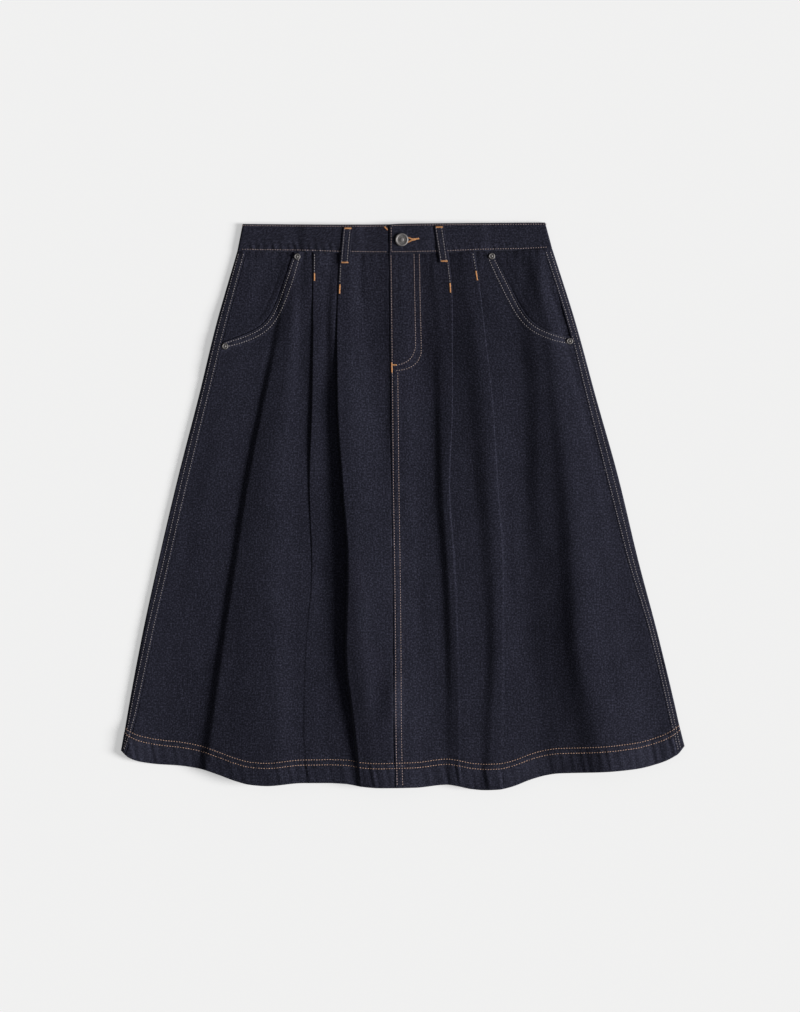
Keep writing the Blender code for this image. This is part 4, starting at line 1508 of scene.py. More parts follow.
@dataclass
class BackPanel:
    """The back, flat underneath, turned up round both sides and lapped onto the front."""

    strip_points: int = 11
    fold_points: int = 12
    flat_points: int = 70
    hem_depth: float = 28.0
    lower: float = 2.0      # what lies below this is the underside
    upper: float = 2.2      # what lies above this puckers
    crown: float = 0.10     # of a strip, across
    runs: tuple = (Run(128, 2.2), Run(592, 5.2), Run(LENGTH, 1.7))

    def strip_seat(self, level: Level, side: Side) -> float:
        """Height of what one side strip lies on.

        Args:
            level: The front at one drop.
            side: Which side.

        Returns:
            The height.
        """
        toward = side.value
        x = np.array(level.outer_fold(side) + toward * (SEAM_TUCK + 4))
        y = level.y(x)
        seat = FRONT_TOP + float(level.pocket_lift(x, y))
        return max(seat, level.hem_floor()) + GAP

    def wrap(self, drop: float, side: Side) -> tuple[Array, Array, Array]:
        """The lap and the outer fold of one side.

        Args:
            drop: How far below the waist seam.
            side: Which side.

        Returns:
            x, the cloth's middle height and its wall, from the strip's edge to the underside.
        """
        level = Level(drop)
        toward = side.value
        outer = level.outer_fold(side)
        width = level.strip[side]
        seat = self.strip_seat(level, side)
        shape = STRIPS[side]
        radius = (seat + WALL / 2 - BACK_MID) / 2
        centre = outer + toward * (radius + WALL / 2)
        strip = np.linspace(outer + toward * width, centre, self.strip_points)
        from_edge = width - (strip - outer) * toward
        share = 1 - from_edge / from_edge[-1]
        thick = WALL + (shape.wall - WALL) * share
        thick = shape.edge + (thick - shape.edge) * soft_step(from_edge / 1.4)
        inset = width - from_edge
        crown = self.crown * np.sin(pi * share)
        crown = crown + level.relief(strip, level.y(strip)) * soft_step(inset / 4.0)
        angle = np.linspace(0, pi, self.fold_points)[1:]
        x = np.concatenate((strip, centre - toward * radius * np.sin(angle)))
        z = np.concatenate((seat + thick / 2 + crown, BACK_MID + radius * (1 + np.cos(angle))))
        wall = np.concatenate((thick, np.full(len(angle), WALL)))
        return x, z, wall

    def on_strip(self, side: Side, drop: float, inset: float) -> tuple[Array, Array]:
        """A place on the outer face of a side strip.

        Args:
            side: Which side.
            drop: How far below the waist seam.
            inset: How far inside the outer fold.

        Returns:
            The place and the way out of the cloth there.
        """
        level = Level(drop)
        x, z, wall = self.wrap(drop, side)
        ahead = np.stack((np.gradient(x), np.gradient(z)), -1)
        ahead /= np.linalg.norm(ahead, axis=-1, keepdims=True)
        out = np.stack((ahead[:, 1], -ahead[:, 0]), -1) * side.value
        face = np.stack((x, z), -1) + out * wall[:, None] / 2
        upper = slice(self.strip_points + 3, None, -1)
        insets = (face[upper, 0] - level.outer_fold(side)) * side.value
        height, out_x, out_z = (np.interp(inset, insets, part[upper])
                                for part in (face[:, 1], out[:, 0], out[:, 1]))
        here = level.outer_fold(side) + side.value * inset
        return (np.array((here, float(level.y(np.array(here))), height)),
                np.array((out_x, 0.0, out_z)))

    def row(self, drop: float) -> tuple[Array, Array, Array, Array, Array]:
        """One row round the back, from the right strip to the left one.

        Args:
            drop: How far below the waist seam.

        Returns:
            x, y and the cloth's middle height, its wall and its wear for each column.
        """
        level = Level(drop)
        right, left = self.wrap(drop, Side.RIGHT), self.wrap(drop, Side.LEFT)
        flat = np.linspace(right[0][-1], left[0][-1], self.flat_points)[1:-1]
        middle = (flat, np.full(len(flat), BACK_MID), np.full(len(flat), WALL))
        x, z, wall = (np.concatenate((first, between, last[::-1]))
                      for first, between, last in zip(right, middle, left))
        under = np.zeros(len(x), bool)
        under[len(right[0]):len(right[0]) + len(flat)] = True
        top = waist_y(x)
        y = np.where(under, top + (back_hem_y(x) - top) * level.share, level.y(x))
        hem = fall(LENGTH - drop, self.hem_depth, EDGE_STEP)
        lower = z < self.lower
        thicker = WALL + (HEM_WALL - WALL) * hem
        wall = np.where(lower, np.maximum(wall, thicker), wall)
        z = np.where(lower, np.maximum(z, wall / 2), z)
        wear = np.where(under, 0.05, 0.12)
        pucker = 0.09 * np.sin(y / 1.35 + 2 * uneven(y, y * 0, 17, 41))
        z = z + np.where(under, 0.0, pucker * (z > self.upper))
        return x, y, z, wall, wear

    def build(self, finishes: Finishes) -> bpy.types.Object:
        """Make the back.

        Args:
            finishes: The skirt's finishes.

        Returns:
            The back.
        """
        rows = [self.row(drop) for drop in run_rows(0.0, self.runs)]
        x, y, z, wall, wear = (np.array(part) for part in zip(*rows))
        u = row_length(x, z)
        u = u - u[:, -1:] / 2
        sheet = Patch(x, y, z, wall, u, y, wear, faces_away=True)
        piece = sheet.build("back", finishes, HEM_WALL)
        return dress(piece, "denim", "back_panel")


@dataclass
class Waistband:
    """The band from its lapped end round the back to the underlap."""

    rows: int = 17
    lap_points: int = 190
    fold_points: int = 9
    back_points: int = 60
    underlap_points: int = 170

    @staticmethod
    def front_mid(x: Array, lapped: bool) -> Array:
        """Middle of the band's front at x.

        Args:
            x: Places across.
            lapped: Whether this is the lapped end, and not the underlap.

        Returns:
            The height at each place.
        """
        bulge = np.zeros(np.shape(x))
        for spot in WAIST_SPOTS:
            bulge = np.maximum(bulge, spot.bulge * spot.near(x))
        past = x - BAND_UNDERLAP_END - LAP_MARGIN
        lap = BAND_PITCH * fall(past, 0.0, BAND_LAP_SOFT) if lapped else 0.0
        beside = BAND_LAP_END - 0.6 - x
        swell = BAND_SWELL * soft_step(beside / 0.8) * hump(np.maximum(beside, 0), 12)
        bulge = np.maximum(bulge, 0.0 if lapped else swell)
        return BAND_FRONT_MID + np.maximum(bulge, lap)

    @staticmethod
    def relief(x: Array, share: Array, height: Array) -> Array:
        """Puckers over the waist seam, dents along the rows and a slight crown.

        Args:
            x: Places across.
            share: How far up the band, from 0 to 1.
            height: The band's height there.

        Returns:
            The height at each place.
        """
        up = share * height
        lean = x + 0.35 * up
        strong = np.interp(x, *BAND_PUCKERS)
        wave = (ripple(lean, 8.6, x, 2.3, 29, 51) + 0.5 * ripple(lean, 5.3, x, 1.7, 17, 52))
        low = hump(up - 5.0, 6.0)
        high = hump(height - up - 4.0, 4.0)
        rows = sum(-0.26 * hump(up - at, 1.2) for at in (BAND_ROW, height - BAND_ROW))
        waves = 0.30 * strong * wave * low + 0.10 * wave * high
        relief = waves + rows + 0.25 * uneven(x, up, 16, 53) + 0.2 * np.sin(pi * share)
        floor = 0.1 - GAP
        return floor + 0.5 * (relief - floor + np.sqrt((relief - floor) ** 2 + 0.02))

    @staticmethod
    def top(x: Array, y: Array) -> Array:
        """Outer face of the band at places on its front.

        Args:
            x: Places across.
            y: Places along.

        Returns:
            The height at each place.
        """
        seam, edge = along(WAIST_LINE, x), along(BAND_TOP, x)
        share = np.clip((y - seam) / (edge - seam), 0, 1)
        mid = np.where(x >= BAND_LAP_END, Waistband.front_mid(x, True),
                       Waistband.front_mid(x, False))
        return mid + BAND_WALL / 2 + Waistband.relief(x, share, edge - seam)

    def row(self, share: float) -> tuple[Array, Array, Array, Array]:
        """One row round the band: x, y, the middle height and how much relief shows.

        Args:
            share: How far up the band, from 0 to 1.

        Returns:
            Those four for each column.
        """
        sides = {}
        for side in Side:
            line = LINES[side.label + "_side"].x[0]
            top = BAND_TOP[0 if side is Side.RIGHT else -1][0]
            sides[side] = line + (top - line) * share + side.value * (BAND_WALL + BAND_PITCH) / 2
        turns = np.arange(1, self.fold_points) * pi / self.fold_points
        radius = BAND_PITCH / 2
        left, right = sides[Side.LEFT], sides[Side.RIGHT]
        lap = np.linspace(BAND_LAP_END, left, self.lap_points)
        back = np.linspace(left, right, self.back_points)
        under = np.linspace(right, BAND_UNDERLAP_END, self.underlap_points)
        x = np.concatenate((lap, left + radius * np.sin(turns), back,
                            right - radius * np.sin(turns), under))
        z = np.concatenate((self.front_mid(lap, True), BAND_BACK_MID + radius * (1 + np.cos(turns)),
                            np.full(len(back), BAND_BACK_MID),
                            BAND_BACK_MID + radius * (1 - np.cos(turns)),
                            self.front_mid(under, False)))
        seam, edge = along(WAIST_LINE, x), along(BAND_TOP, x)
        y = seam - BAND_OVERHANG + (edge - seam + BAND_OVERHANG) * share
        shown = np.zeros(len(x))
        shown[:len(lap)] = 1.0
        shown[-len(under):] = np.where(under < BAND_LAP_END - 1, 1.0, 0.0)
        fade = soft_step(np.minimum(x - right, left - x) / 10)
        z = z + self.relief(x, np.full(x.shape, share), edge - seam) * shown * fade
        return x, y, z, shown

    def build(self, finishes: Finishes) -> bpy.types.Object:
        """Make the band.

        Args:
            finishes: The skirt's finishes.

        Returns:
            The band.
        """
        rows = [self.row(share) for share in np.linspace(0, 1, self.rows)]
        x, y, z, shown = (np.array(part) for part in zip(*rows))
        u = row_length(x, z)
        wear = 0.10 + 0.10 * np.abs(np.linspace(-1, 1, self.rows))[:, None] ** 6 * shown
        wall = np.full(x.shape, BAND_WALL)
        piece = Patch(x, y, z, wall, y, u, wear).build("waistband_denim", finishes, BAND_WALL)
        return dress(piece, "denim", "waistband")


@dataclass
class BeltLoop:
    """A belt loop, held at the band's top edge and just under the waist seam."""

    side: Side
    top: Point
    bottom: Point
    width: float = 11.4
    length: float = 44.0
    tack: float = 2.2       # from each end
    wall: float = 0.9
    arch: float = 0.15
    rows: int = 44
    columns: int = 15

    def frame(self) -> tuple[Array, Array, Array]:
        """Places of the loop's face, and how far down the loop each lies.

        Returns:
            x, y and the share of the way down, as rows down the loop.
        """
        share = np.linspace(0, 1, self.rows)[:, None]
        across = np.linspace(-1, 1, self.columns)[None, :]
        x = self.top.x + (self.bottom.x - self.top.x) * share + across * self.width / 2
        y = self.top.y + (self.bottom.y - self.top.y) * share + 0 * across
        return x, y, share + 0 * across

    def heights(self, ground: Callable[[Array, Array], Array]) -> Array:
        """Outer face of the loop over what it lies on.

        Args:
            ground: Outer height of what lies below at places (x, y).

        Returns:
            The height at each place.
        """
        x, y, share = self.frame()
        reach = (-2.0, 0.0, 2.0)
        near = np.max([ground(x, y + dy) for dy in reach], axis=(0, 2))[:, None]
        ease = np.convolve(np.pad(near[:, 0], 2, mode="edge"), np.ones(5) / 5, "valid")
        near = np.maximum(near[:, 0], ease)[:, None]
        arch = self.arch * np.sin(pi * share) ** 0.6
        across = (x - x.mean(axis=1, keepdims=True)) / (self.width / 2)
        held = sum(hump(run * self.length - self.tack, 1.5) for run in (share, 1 - share))
        rows = -0.18 * hump((np.abs(across) - 0.66) * self.width / 2, 0.9)
        crown = 0.12 * (1 - across**2)
        ripple = 0.08 * np.sin(y / 1.1) * (1 - across**2)
        return near + GAP / 2 + self.wall + arch - 0.2 * held + rows + crown + ripple

    def build(self, finishes: Finishes, ground: Callable) -> bpy.types.Object:
        """Make the loop.

        Args:
            finishes: The skirt's finishes.
            ground: Outer height of what lies below at places (x, y).

        Returns:
            The loop.
        """
        x, y, _ = self.frame()
        z = self.heights(ground) - self.wall / 2
        wear = np.full(x.shape, 0.14)
        wall = np.full(x.shape, self.wall)
        piece = Patch(x, y, z, wall, x, y, wear).build(f"{self.side.label}_belt_loop", finishes,
                                                       self.wall)
        return dress(piece, "denim", f"belt_loop_{self.side.label}")


# ---------------------------------------------------------------------------------------------
# Sewing

@dataclass
class Seam:
    """A line of sewing as places on the cloth and the way out of the cloth at each."""

    places: Array
    outs: Array

    def sample(self, pitch: float) -> tuple[Array, Array, Array]:
        """Places, ways along and ways out at an even pitch.

        Args:
            pitch: Distance between the samples.

        Returns:
            Three arrays with a row for each sample.
        """
        step = np.linalg.norm(np.diff(self.places, axis=0), axis=1)
        run = np.concatenate(([0], np.cumsum(step)))
        count = max(1, int(run[-1] / pitch))
        at = (np.arange(count) + 0.5) * run[-1] / count
        reach = min(pitch, 1.6) * 0.5
        here = self.read(run, self.places, at)
        ahead = self.read(run, self.places, at + reach) - self.read(run, self.places, at - reach)
        ahead /= np.maximum(np.linalg.norm(ahead, axis=1, keepdims=True), 1e-9)
        out = self.read(run, self.outs, at)
        out -= ahead * (out * ahead).sum(1, keepdims=True)
        out /= np.linalg.norm(out, axis=1, keepdims=True)
        return here, ahead, out

    @staticmethod
    def read(run: Array, values: Array, at: Array) -> Array:
        """Values at distances along the line."""
        return np.column_stack([np.interp(at, run, values[:, k]) for k in range(3)])


@dataclass(frozen=True)
class Stitch:
    """One kind of stitch: its pitch along the line and the size of each grain of thread."""

    pitch: float
    length: float
    width: float
    height: float
    across: bool = False
    sag: float = 0.22
    rise: float = 0.06
    wander: float = 0.05


TOPSTITCH = Stitch(pitch=3.2, length=2.35, width=0.84, height=0.66, sag=0.34, rise=0.12)
CLOSE_STITCH = Stitch(pitch=3.0, length=2.0, width=0.98, height=0.70, sag=0.32, rise=0.12)
SIDE_STITCH = Stitch(pitch=3.0, length=2.0, width=0.98, height=0.70, sag=0.3, rise=0.02)
FLAT_STITCH = Stitch(pitch=3.2, length=2.35, width=0.8, height=0.3, sag=0.1, rise=0.0)
SATIN = Stitch(pitch=0.46, length=2.1, width=0.56, height=0.75, across=True, sag=0.30, rise=0.16,
               wander=0.07)
TUCK_SATIN = Stitch(pitch=0.46, length=1.9, width=0.55, height=0.8, across=True, sag=0.3,
                    rise=0.2, wander=0.06)

FIRST_SEED = 100        # of a piece's first seam; each next seam takes the next one
LINE_STEP = 0.8
UP, DOWN = (0.0, 0.0, 1.0), (0.0, 0.0, -1.0)
BAND_ROWS = ((WAIST_LINE, BAND_ROW), (BAND_TOP, -BAND_ROW))
BAND_END_ROW = BAND_LAP_END + 2.2
BACK_HEM_ROWS = (27.0, 27.0 - HEM_ROW_PITCH)
FLY_ROWS = (((19.9, 303.0), (20.8, 250), (21.8, 210), (22.2, 186), (19.4, 176.5),
             (12.0, 168.5), (2.0, 164.2), (-8.6, 162.6)),
            ((13.6, 303.0), (14.4, 250), (15.2, 212), (15.4, 193), (12.6, 182.5),
             (5.6, 174.0), (-3.0, 170.2), (-11.6, 168.8)))
FLY_TACKS = (((-13.6, 169.8), (-7.2, 169.4)), ((-13.2, 172.5), (-12.9, 160.5)))
BAND_TACK = ((-21.8, 335.4), (-18.2, 331.5))


class Sewing:
    """Thread laid along seams, joined into one piece for each kind."""

    SEGMENTS = 6
    RINGS = 5

    def __init__(self) -> None:
        """Make the grain that every stitch repeats."""
        grain = bmesh.new()
        bmesh.ops.create_uvsphere(grain, u_segments=self.SEGMENTS, v_segments=self.RINGS,
                                  radius=1.0)
        bmesh.ops.rotate(grain, verts=grain.verts, matrix=Matrix.Rotation(pi / 2, 3, "Y"))
        self.grain = mesh_of("grain", grain)
        shape = np.array([vertex.co for vertex in self.grain.vertices])
        self.shape = np.column_stack((np.sign(shape[:, 0]) * np.abs(shape[:, 0]) ** 0.72,
                                      shape[:, 1], shape[:, 2]))

    def lay(self, seam: Seam, stitch: Stitch, seed: int) -> Array:
        """Points of every grain along one seam.

        Args:
            seam: Where the line runs.
            stitch: The kind of stitch.
            seed: Which small differences between the stitches.

        Returns:
            An array of stitches by grain points by 3.
        """
        place, ahead, out = seam.sample(stitch.pitch)
        chance = np.random.default_rng(seed)
        aside = np.cross(out, ahead)
        if stitch.across:
            ahead, aside = aside, ahead
        turn = chance.normal(0, stitch.wander, (len(place), 1))
        ahead, aside = ahead + aside * turn, aside - ahead * turn
        size = 1 + chance.normal(0, 0.05, (len(place), 1, 1))
        shift = chance.normal(0, 0.05, (len(place), 1))
        place = place + aside * shift + out * stitch.rise
        a, b, c = (self.shape[None, :, k, None] for k in range(3))
        bend = c * stitch.height / 2 - stitch.sag * a * a
        return (place[:, None] + ahead[:, None] * a * stitch.length / 2 * size
                + aside[:, None] * b * stitch.width / 2 + out[:, None] * bend)

    def sew(self, name: str, finish: bpy.types.Material, slot: str,
            lines: Sequence[tuple[Seam, Stitch]]) -> bpy.types.Object:
        """Join the stitches of several lines into one piece.

        Args:
            name: The piece's name.
            finish: Its thread.
            slot: Not used, only passed on.
            lines: Seams with their stitches.

        Returns:
            The piece.
        """
        points = [self.lay(seam, stitch, seed)
                  for seed, (seam, stitch) in enumerate(lines, FIRST_SEED)]
        places = np.concatenate(points)
        joined = bmesh.new()
        for _ in range(len(places)):
            joined.from_mesh(self.grain)
        mesh = mesh_of(name, joined)
        mesh.vertices.foreach_set("co", (places.reshape(-1, 3) * MM).astype(np.float32).ravel())
        mesh.polygons.foreach_set("use_smooth", np.ones(len(mesh.polygons), bool))
        mesh.materials.append(finish)
        return dress(in_scene(name, mesh), slot)


def run_along(points: Array) -> Array:
    """Distance along a flat line of points from its first one."""
    return np.concatenate(([0], np.cumsum(np.hypot(*np.diff(points, axis=0).T))))


def fine_line(points: Sequence[Sequence[float]], step: float = 1.0) -> Array:
    """A smooth line through points (x, y), with a place about every step.

    Args:
        points: Places that the line goes through.
        step: Distance between the line's places.

    Returns:
        The line's places, one to a row.
    """
    points = np.asarray(points, float)
    run = run_along(points)
    at = np.linspace(0, run[-1], max(3, int(run[-1] / step) + 1))
    return np.column_stack((smooth_curve(run, points[:, 0], at),
                            smooth_curve(run, points[:, 1], at)))


@dataclass
class SkirtSewing:
    """Every line of sewing on the skirt."""

    front: FrontMap
    back: BackPanel
    loops: tuple
    sewing: Sewing = field(default_factory=Sewing)

    def on_front(self, line: Array) -> Seam:
        """A seam on the front's top face."""
        return Seam(np.column_stack((line, self.front.height(*line.T))),
                    self.front.normal(*line.T))

    @staticmethod
    def flat_seam(line: Array, height: Array, out: tuple = UP) -> Seam:
        """A seam with the same way out all along."""
        return Seam(np.column_stack((line, height)), np.tile(out, (len(line), 1)))

    def on_band(self, line: Array) -> Seam:
        """A seam on the front of the waistband."""
        return self.flat_seam(line, Waistband.top(*line.T))

    def underside(self, line: Array, height: float = 0.12) -> Seam:
        """A seam on the underside."""
        return self.flat_seam(line, np.full(len(line), height), DOWN)

    def centre_rows(self) -> list[Seam]:
        """The two rows down the centre front; the first also edges the fly.

        Returns:
            A seam for each row.
        """
        seams = []
        for offset, first in zip(CF_ROWS, (1.5, CF_SECOND_FROM)):
            drops = np.arange(first, LENGTH - 2.5, 1.0)
            x = smooth_curve(DROPS, CENTRE_FRONT, drops) + offset
            seams.append(self.on_front(np.column_stack((x, front_y(x, drops)))))
        return seams

    def fly_rows(self) -> list[Seam]:
        """The two rows of the fly, round to the centre front."""
        return [self.on_front(fine_line(row)) for row in FLY_ROWS]

    def hem_rows(self) -> list[Seam]:
        """The two rows along the front hem, out over the side strips.

        Returns:
            A seam for each row.
        """
        seams = []
        for index in (0, 1):
            x = np.arange(-336.0, 336.5, LINE_STEP)
            y = hem_y(x) + along(HEM_DEPTH, x) - HEM_ROW_PITCH * index
            seam = self.on_front(np.column_stack((x, y)))
            drops = LENGTH * (waist_y(x) - y) / (waist_y(x) - hem_y(x))
            for place, out, drop in zip(seam.places, seam.outs, drops):
                level = Level(float(drop))
                side = Side.RIGHT if place[0] < 0 else Side.LEFT
                inset = (place[0] - level.outer_fold(side)) * side.value
                if inset < level.strip[side]:
                    on_strip = self.back.on_strip(side, float(drop), max(inset, 0.6))
                    place[:], out[:] = on_strip
            seams.append(seam)
        return seams

    def mouth_lines(self) -> list[Seam]:
        """The two rows along each pocket mouth.

        Returns:
            A seam for each row.
        """
        seams = []
        for side in Side:
            mouth = MOUTHS[side][:-1]
            inward = mouth_ways(mouth, side)[1]
            run = run_along(mouth)
            for row in MOUTH_ROWS:
                line = mouth + inward * smooth_curve(*row, run)[:, None]
                seam = at_drop(LINES[side.label + "_side"].x, MOUTH_END_DROP)
                kept = ((line[:, 1] < waist_y(line[:, 0]) - MOUTH_ROW_ENDS[0])
                        & ((line[:, 0] - seam) * side.value > MOUTH_ROW_ENDS[1]))
                seams.append(self.on_front(fine_line(line[kept])))
        return seams

    def tuck_lines(self) -> tuple[list[Seam], list[Seam]]:
        """The rows that hold the tucks, and the tacks that end them.

        Returns:
            The rows and the tacks.
        """
        rows, tacks = [], []
        for name, first, row_end, tack_end in TUCK_SEWING:
            lines = []
            for start, end, step in ((first, row_end, 2.0), (row_end, tack_end, 0.5)):
                line = []
                for drop in np.arange(start, end, step):
                    tuck = Tuck(name, float(drop))
                    x = tuck.edge + tuck.toward * TUCK_ROW
                    line.append((x, float(front_y(x, drop))))
                lines.append(self.on_front(np.array(line)))
            rows.append(lines[0])
            tacks.append(lines[1])
        return rows, tacks

    def band_rows(self) -> list[Seam]:
        """The rows along the band's two edges and its lapped end.

        Returns:
            A seam for each row.
        """
        seams = []
        for start, end in ((-193.5, BAND_LAP_END - 2.5), (BAND_END_ROW, 174.0)):
            x = np.arange(start, end, LINE_STEP)
            seams += [self.on_band(np.column_stack((x, along(edge, x) + offset)))
                      for edge, offset in BAND_ROWS]
        seams.append(self.on_band(fine_line(((BAND_END_ROW, 306.0), (BAND_END_ROW, 335.0)))))
        return seams

    def strip_lines(self) -> list[Seam]:
        """The two rows down each side strip.

        Returns:
            A seam for each row.
        """
        seams = []
        for side in Side:
            for row in (0, 1):
                spots = []
                for drop in np.arange(3.0, LENGTH - 3, 4.0):
                    inset = (at_drop(STRIP_OUTER_ROW[side], drop) if row
                             else at_drop(STRIP_WIDTH[side], drop) - STRIP_EDGE_ROW)
                    spots.append(self.back.on_strip(side, float(drop), inset))
                places, outs = zip(*spots)
                seams.append(Seam(np.array(places), np.array(outs)))
        return seams

    def loop_lines(self, ground: Callable) -> tuple[list[Seam], list[Seam]]:
        """The two rows down each belt loop, and the tacks at its ends.

        Args:
            ground: Outer height of what lies below at places (x, y).

        Returns:
            The rows and the tacks.
        """
        rows, tacks = [], []
        for loop in self.loops:
            x, y, _ = loop.frame()
            z = loop.heights(ground)
            middle = loop.columns // 2
            face = np.stack((x, y, z), -1)
            for column in (middle - 5, middle + 3):
                line = face[2:-2, column]
                rows.append(self.flat_seam(line[:, :2], line[:, 2]))
            for row in (2, loop.rows - 3):
                line = face[row, 2:-2]
                tacks.append(self.flat_seam(line[:, :2], line[:, 2] + 0.05))
        return rows, tacks

    def buttonhole(self) -> list[Seam]:
        """The keyhole buttonhole: its eye under the button, two arms and the bar.

        Returns:
            A seam for each part.
        """
        eye = Point(-1.0, 319.4)
        radius = 4.6
        around = [(eye.x + radius * cos(a), eye.y + radius * sin(a))
                  for a in np.linspace(radians(35), radians(325), 16)]
        upper = ((eye.x + 4.2, eye.y + 3.0), (7.5, 321.9), (11.0, 320.6), (15.2, 320.6))
        lower = ((eye.x + 4.2, eye.y - 3.0), (7.5, 317.4), (11.0, 319.2), (15.2, 320.0))
        bar = ((14.6, 320.3), (19.6, 321.3))
        return [self.on_band(fine_line(line, 0.4)) for line in (around, upper, lower, bar)]

    def build(self, finishes: Finishes, ground: Callable) -> list[bpy.types.Object]:
        """Sew everything.

        Args:
            finishes: The skirt's finishes.
            ground: Outer height of what lies below at places (x, y).

        Returns:
            The pieces of thread.
        """
        tuck_rows, tuck_tacks = self.tuck_lines()
        loop_rows, loop_tacks = self.loop_lines(ground)
        short_tacks = tuck_tacks + [self.on_front(fine_line(line, 0.5)) for line in FLY_TACKS]
        short_tacks.append(self.on_band(fine_line(BAND_TACK, 0.5)))
        hidden = []
        x = np.arange(-188.0, 170.0, LINE_STEP)
        hidden += [np.column_stack((x, along(edge, x) + offset)) for edge, offset in BAND_ROWS]
        x = np.arange(-325.0, 325.0, LINE_STEP)
        hidden += [np.column_stack((x, back_hem_y(x) + offset)) for offset in BACK_HEM_ROWS]
        plan = (
            ("stitching_hem", finishes.amber, (TOPSTITCH, self.hem_rows())),
            ("stitching_centre_front", finishes.copper, (TOPSTITCH, self.centre_rows()),
             (SIDE_STITCH, self.fly_rows())),
            ("stitching_pockets", finishes.grey, (CLOSE_STITCH, self.mouth_lines())),
            ("stitching_waistband", finishes.copper, (SIDE_STITCH, self.band_rows())),
            ("stitching_sides", finishes.grey, (SIDE_STITCH, self.strip_lines())),
            ("stitching_tucks", finishes.grey, (CLOSE_STITCH, tuck_rows)),
            ("stitching_loops", finishes.grey, (CLOSE_STITCH, loop_rows)),
            ("stitching_underside", finishes.copper,
             (FLAT_STITCH, [self.underside(line) for line in hidden])),
            ("bar_tacks", finishes.satin, (TUCK_SATIN, short_tacks), (SATIN, loop_tacks)),
            ("buttonhole_thread", finishes.satin, (SATIN, self.buttonhole())),
        )
        return [self.sewing.sew(name, finish, "thread",
                                [(seam, stitch) for stitch, seams in groups for seam in seams])
                for name, finish, *groups in plan]


# ---------------------------------------------------------------------------------------------
# Metal

RUB_AND_SHADE_DEPTH = 1.1         # a metal piece is brighter at its top, where it rubs, and painted darker as shade this far below it


def turned(name: str, profile: Sequence[tuple], place: tuple[float, float, float], steps: int,
           finish: bpy.types.Material) -> bpy.types.Object:
    """A turned metal piece.

    Args:
        name: The piece's name.
        profile: Radius and height from the middle of the top round to that of the foot.
        place: Where the foot stands.
        steps: How many steps round.
        finish: Its finish.

    Returns:
        The piece, with its rubbing and painted shade kept as an attribute.
    """
    lathe = bmesh.new()
    made = [lathe.verts.new((radius, 0, height)) for radius, height in profile]
    edges = [lathe.edges.new(pair) for pair in zip(made, made[1:])]
    bmesh.ops.spin(lathe, geom=made + edges, axis=(0, 0, 1), cent=(0, 0, 0), dvec=(0, 0, 0),
                   angle=2 * pi, steps=steps, use_merge=True)
    bmesh.ops.remove_doubles(lathe, verts=lathe.verts, dist=0.001)
    bmesh.ops.recalc_face_normals(lathe, faces=lathe.faces)
    return metal_piece(name, lathe, place, finish)


def metal_piece(name: str, shape: bmesh.types.BMesh, place: tuple[float, float, float],
                finish: bpy.types.Material) -> bpy.types.Object:
    """Place a metal shape and mark by its height where it rubs bright and where it takes painted
    shade.

    Args:
        name: The piece's name.
        shape: The shape, standing at the middle.
        place: Where its foot goes.
        finish: Its finish.

    Returns:
        The piece.
    """
    heights = np.array([vertex.co.z for vertex in shape.verts])
    bmesh.ops.translate(shape, verts=shape.verts, vec=place)
    bmesh.ops.scale(shape, verts=shape.verts, vec=(MM, MM, MM))
    mesh = mesh_of(name, shape)
    # painted shade: the lower parts of a metal piece darker, its top brighter
    rubbed = np.clip((heights - heights.max() + RUB_AND_SHADE_DEPTH) / RUB_AND_SHADE_DEPTH, 0, 1) ** 1.5
    set_wear(mesh, rubbed)
    mesh.shade_smooth()
    mesh.set_sharp_from_angle(angle=radians(50))
    mesh.materials.append(finish)
    return in_scene(name, mesh)


@dataclass
class WaistButton:
    """A tack button: a dished head with a rolled rim, a beaded ring and a low boss."""

    place: Point = Point(-1.1, 319.7)
    radius: float = 7.9
    shank: float = 2.2
    beads: int = 26
    bead_ring: float = 3.85
    bead_radius: float = 0.36
    bead_height: float = 1.34

    def build(self, finishes: Finishes) -> bpy.types.Object:
        """Make the button.

        Args:
            finishes: The skirt's finishes.

        Returns:
            The button's head.
        """
        x = np.array(self.place.x)
        foot = float(Waistband.front_mid(x, False)) + BAND_WALL / 2 + GAP
        seat = float(Waistband.front_mid(x, True)) + BAND_WALL / 2 + GAP + 0.25 - foot
        head = ((0, 1.75), (1.0, 1.73), (1.9, 1.62), (2.3, 1.45), (2.6, 1.32), (3.2, 1.28),
                (4.4, 1.28), (5.0, 1.3), (5.4, 1.4), (5.8, 1.6), (6.2, 1.75), (6.7, 1.82),
                (7.1, 1.78), (7.5, 1.6), (7.8, 1.3), (self.radius, 1.0), (7.85, 0.7),
                (7.6, 0.4), (7.1, 0.15), (6.4, 0.0), (self.shank, 0.0))
        profile = [(radius, height + seat) for radius, height in head]
        profile += [(self.shank, 0.0), (0.0, 0.0)]
        button = turned("waist_button_head", profile, (*self.place, foot), 72, finishes.metal)
        dress(button, "aged_metal", "waist_button")
        ring = bmesh.new()
        for step in range(self.beads):
            angle = 2 * pi * step / self.beads
            centre = (self.bead_ring * cos(angle), self.bead_ring * sin(angle),
                      seat + self.bead_height)
            bmesh.ops.create_icosphere(ring, subdivisions=1, radius=self.bead_radius,
                                       matrix=Matrix.Translation(centre))
        beads = metal_piece("button_beading", ring, (*self.place, foot), finishes.metal)
        dress(beads, "aged_metal")
        return button


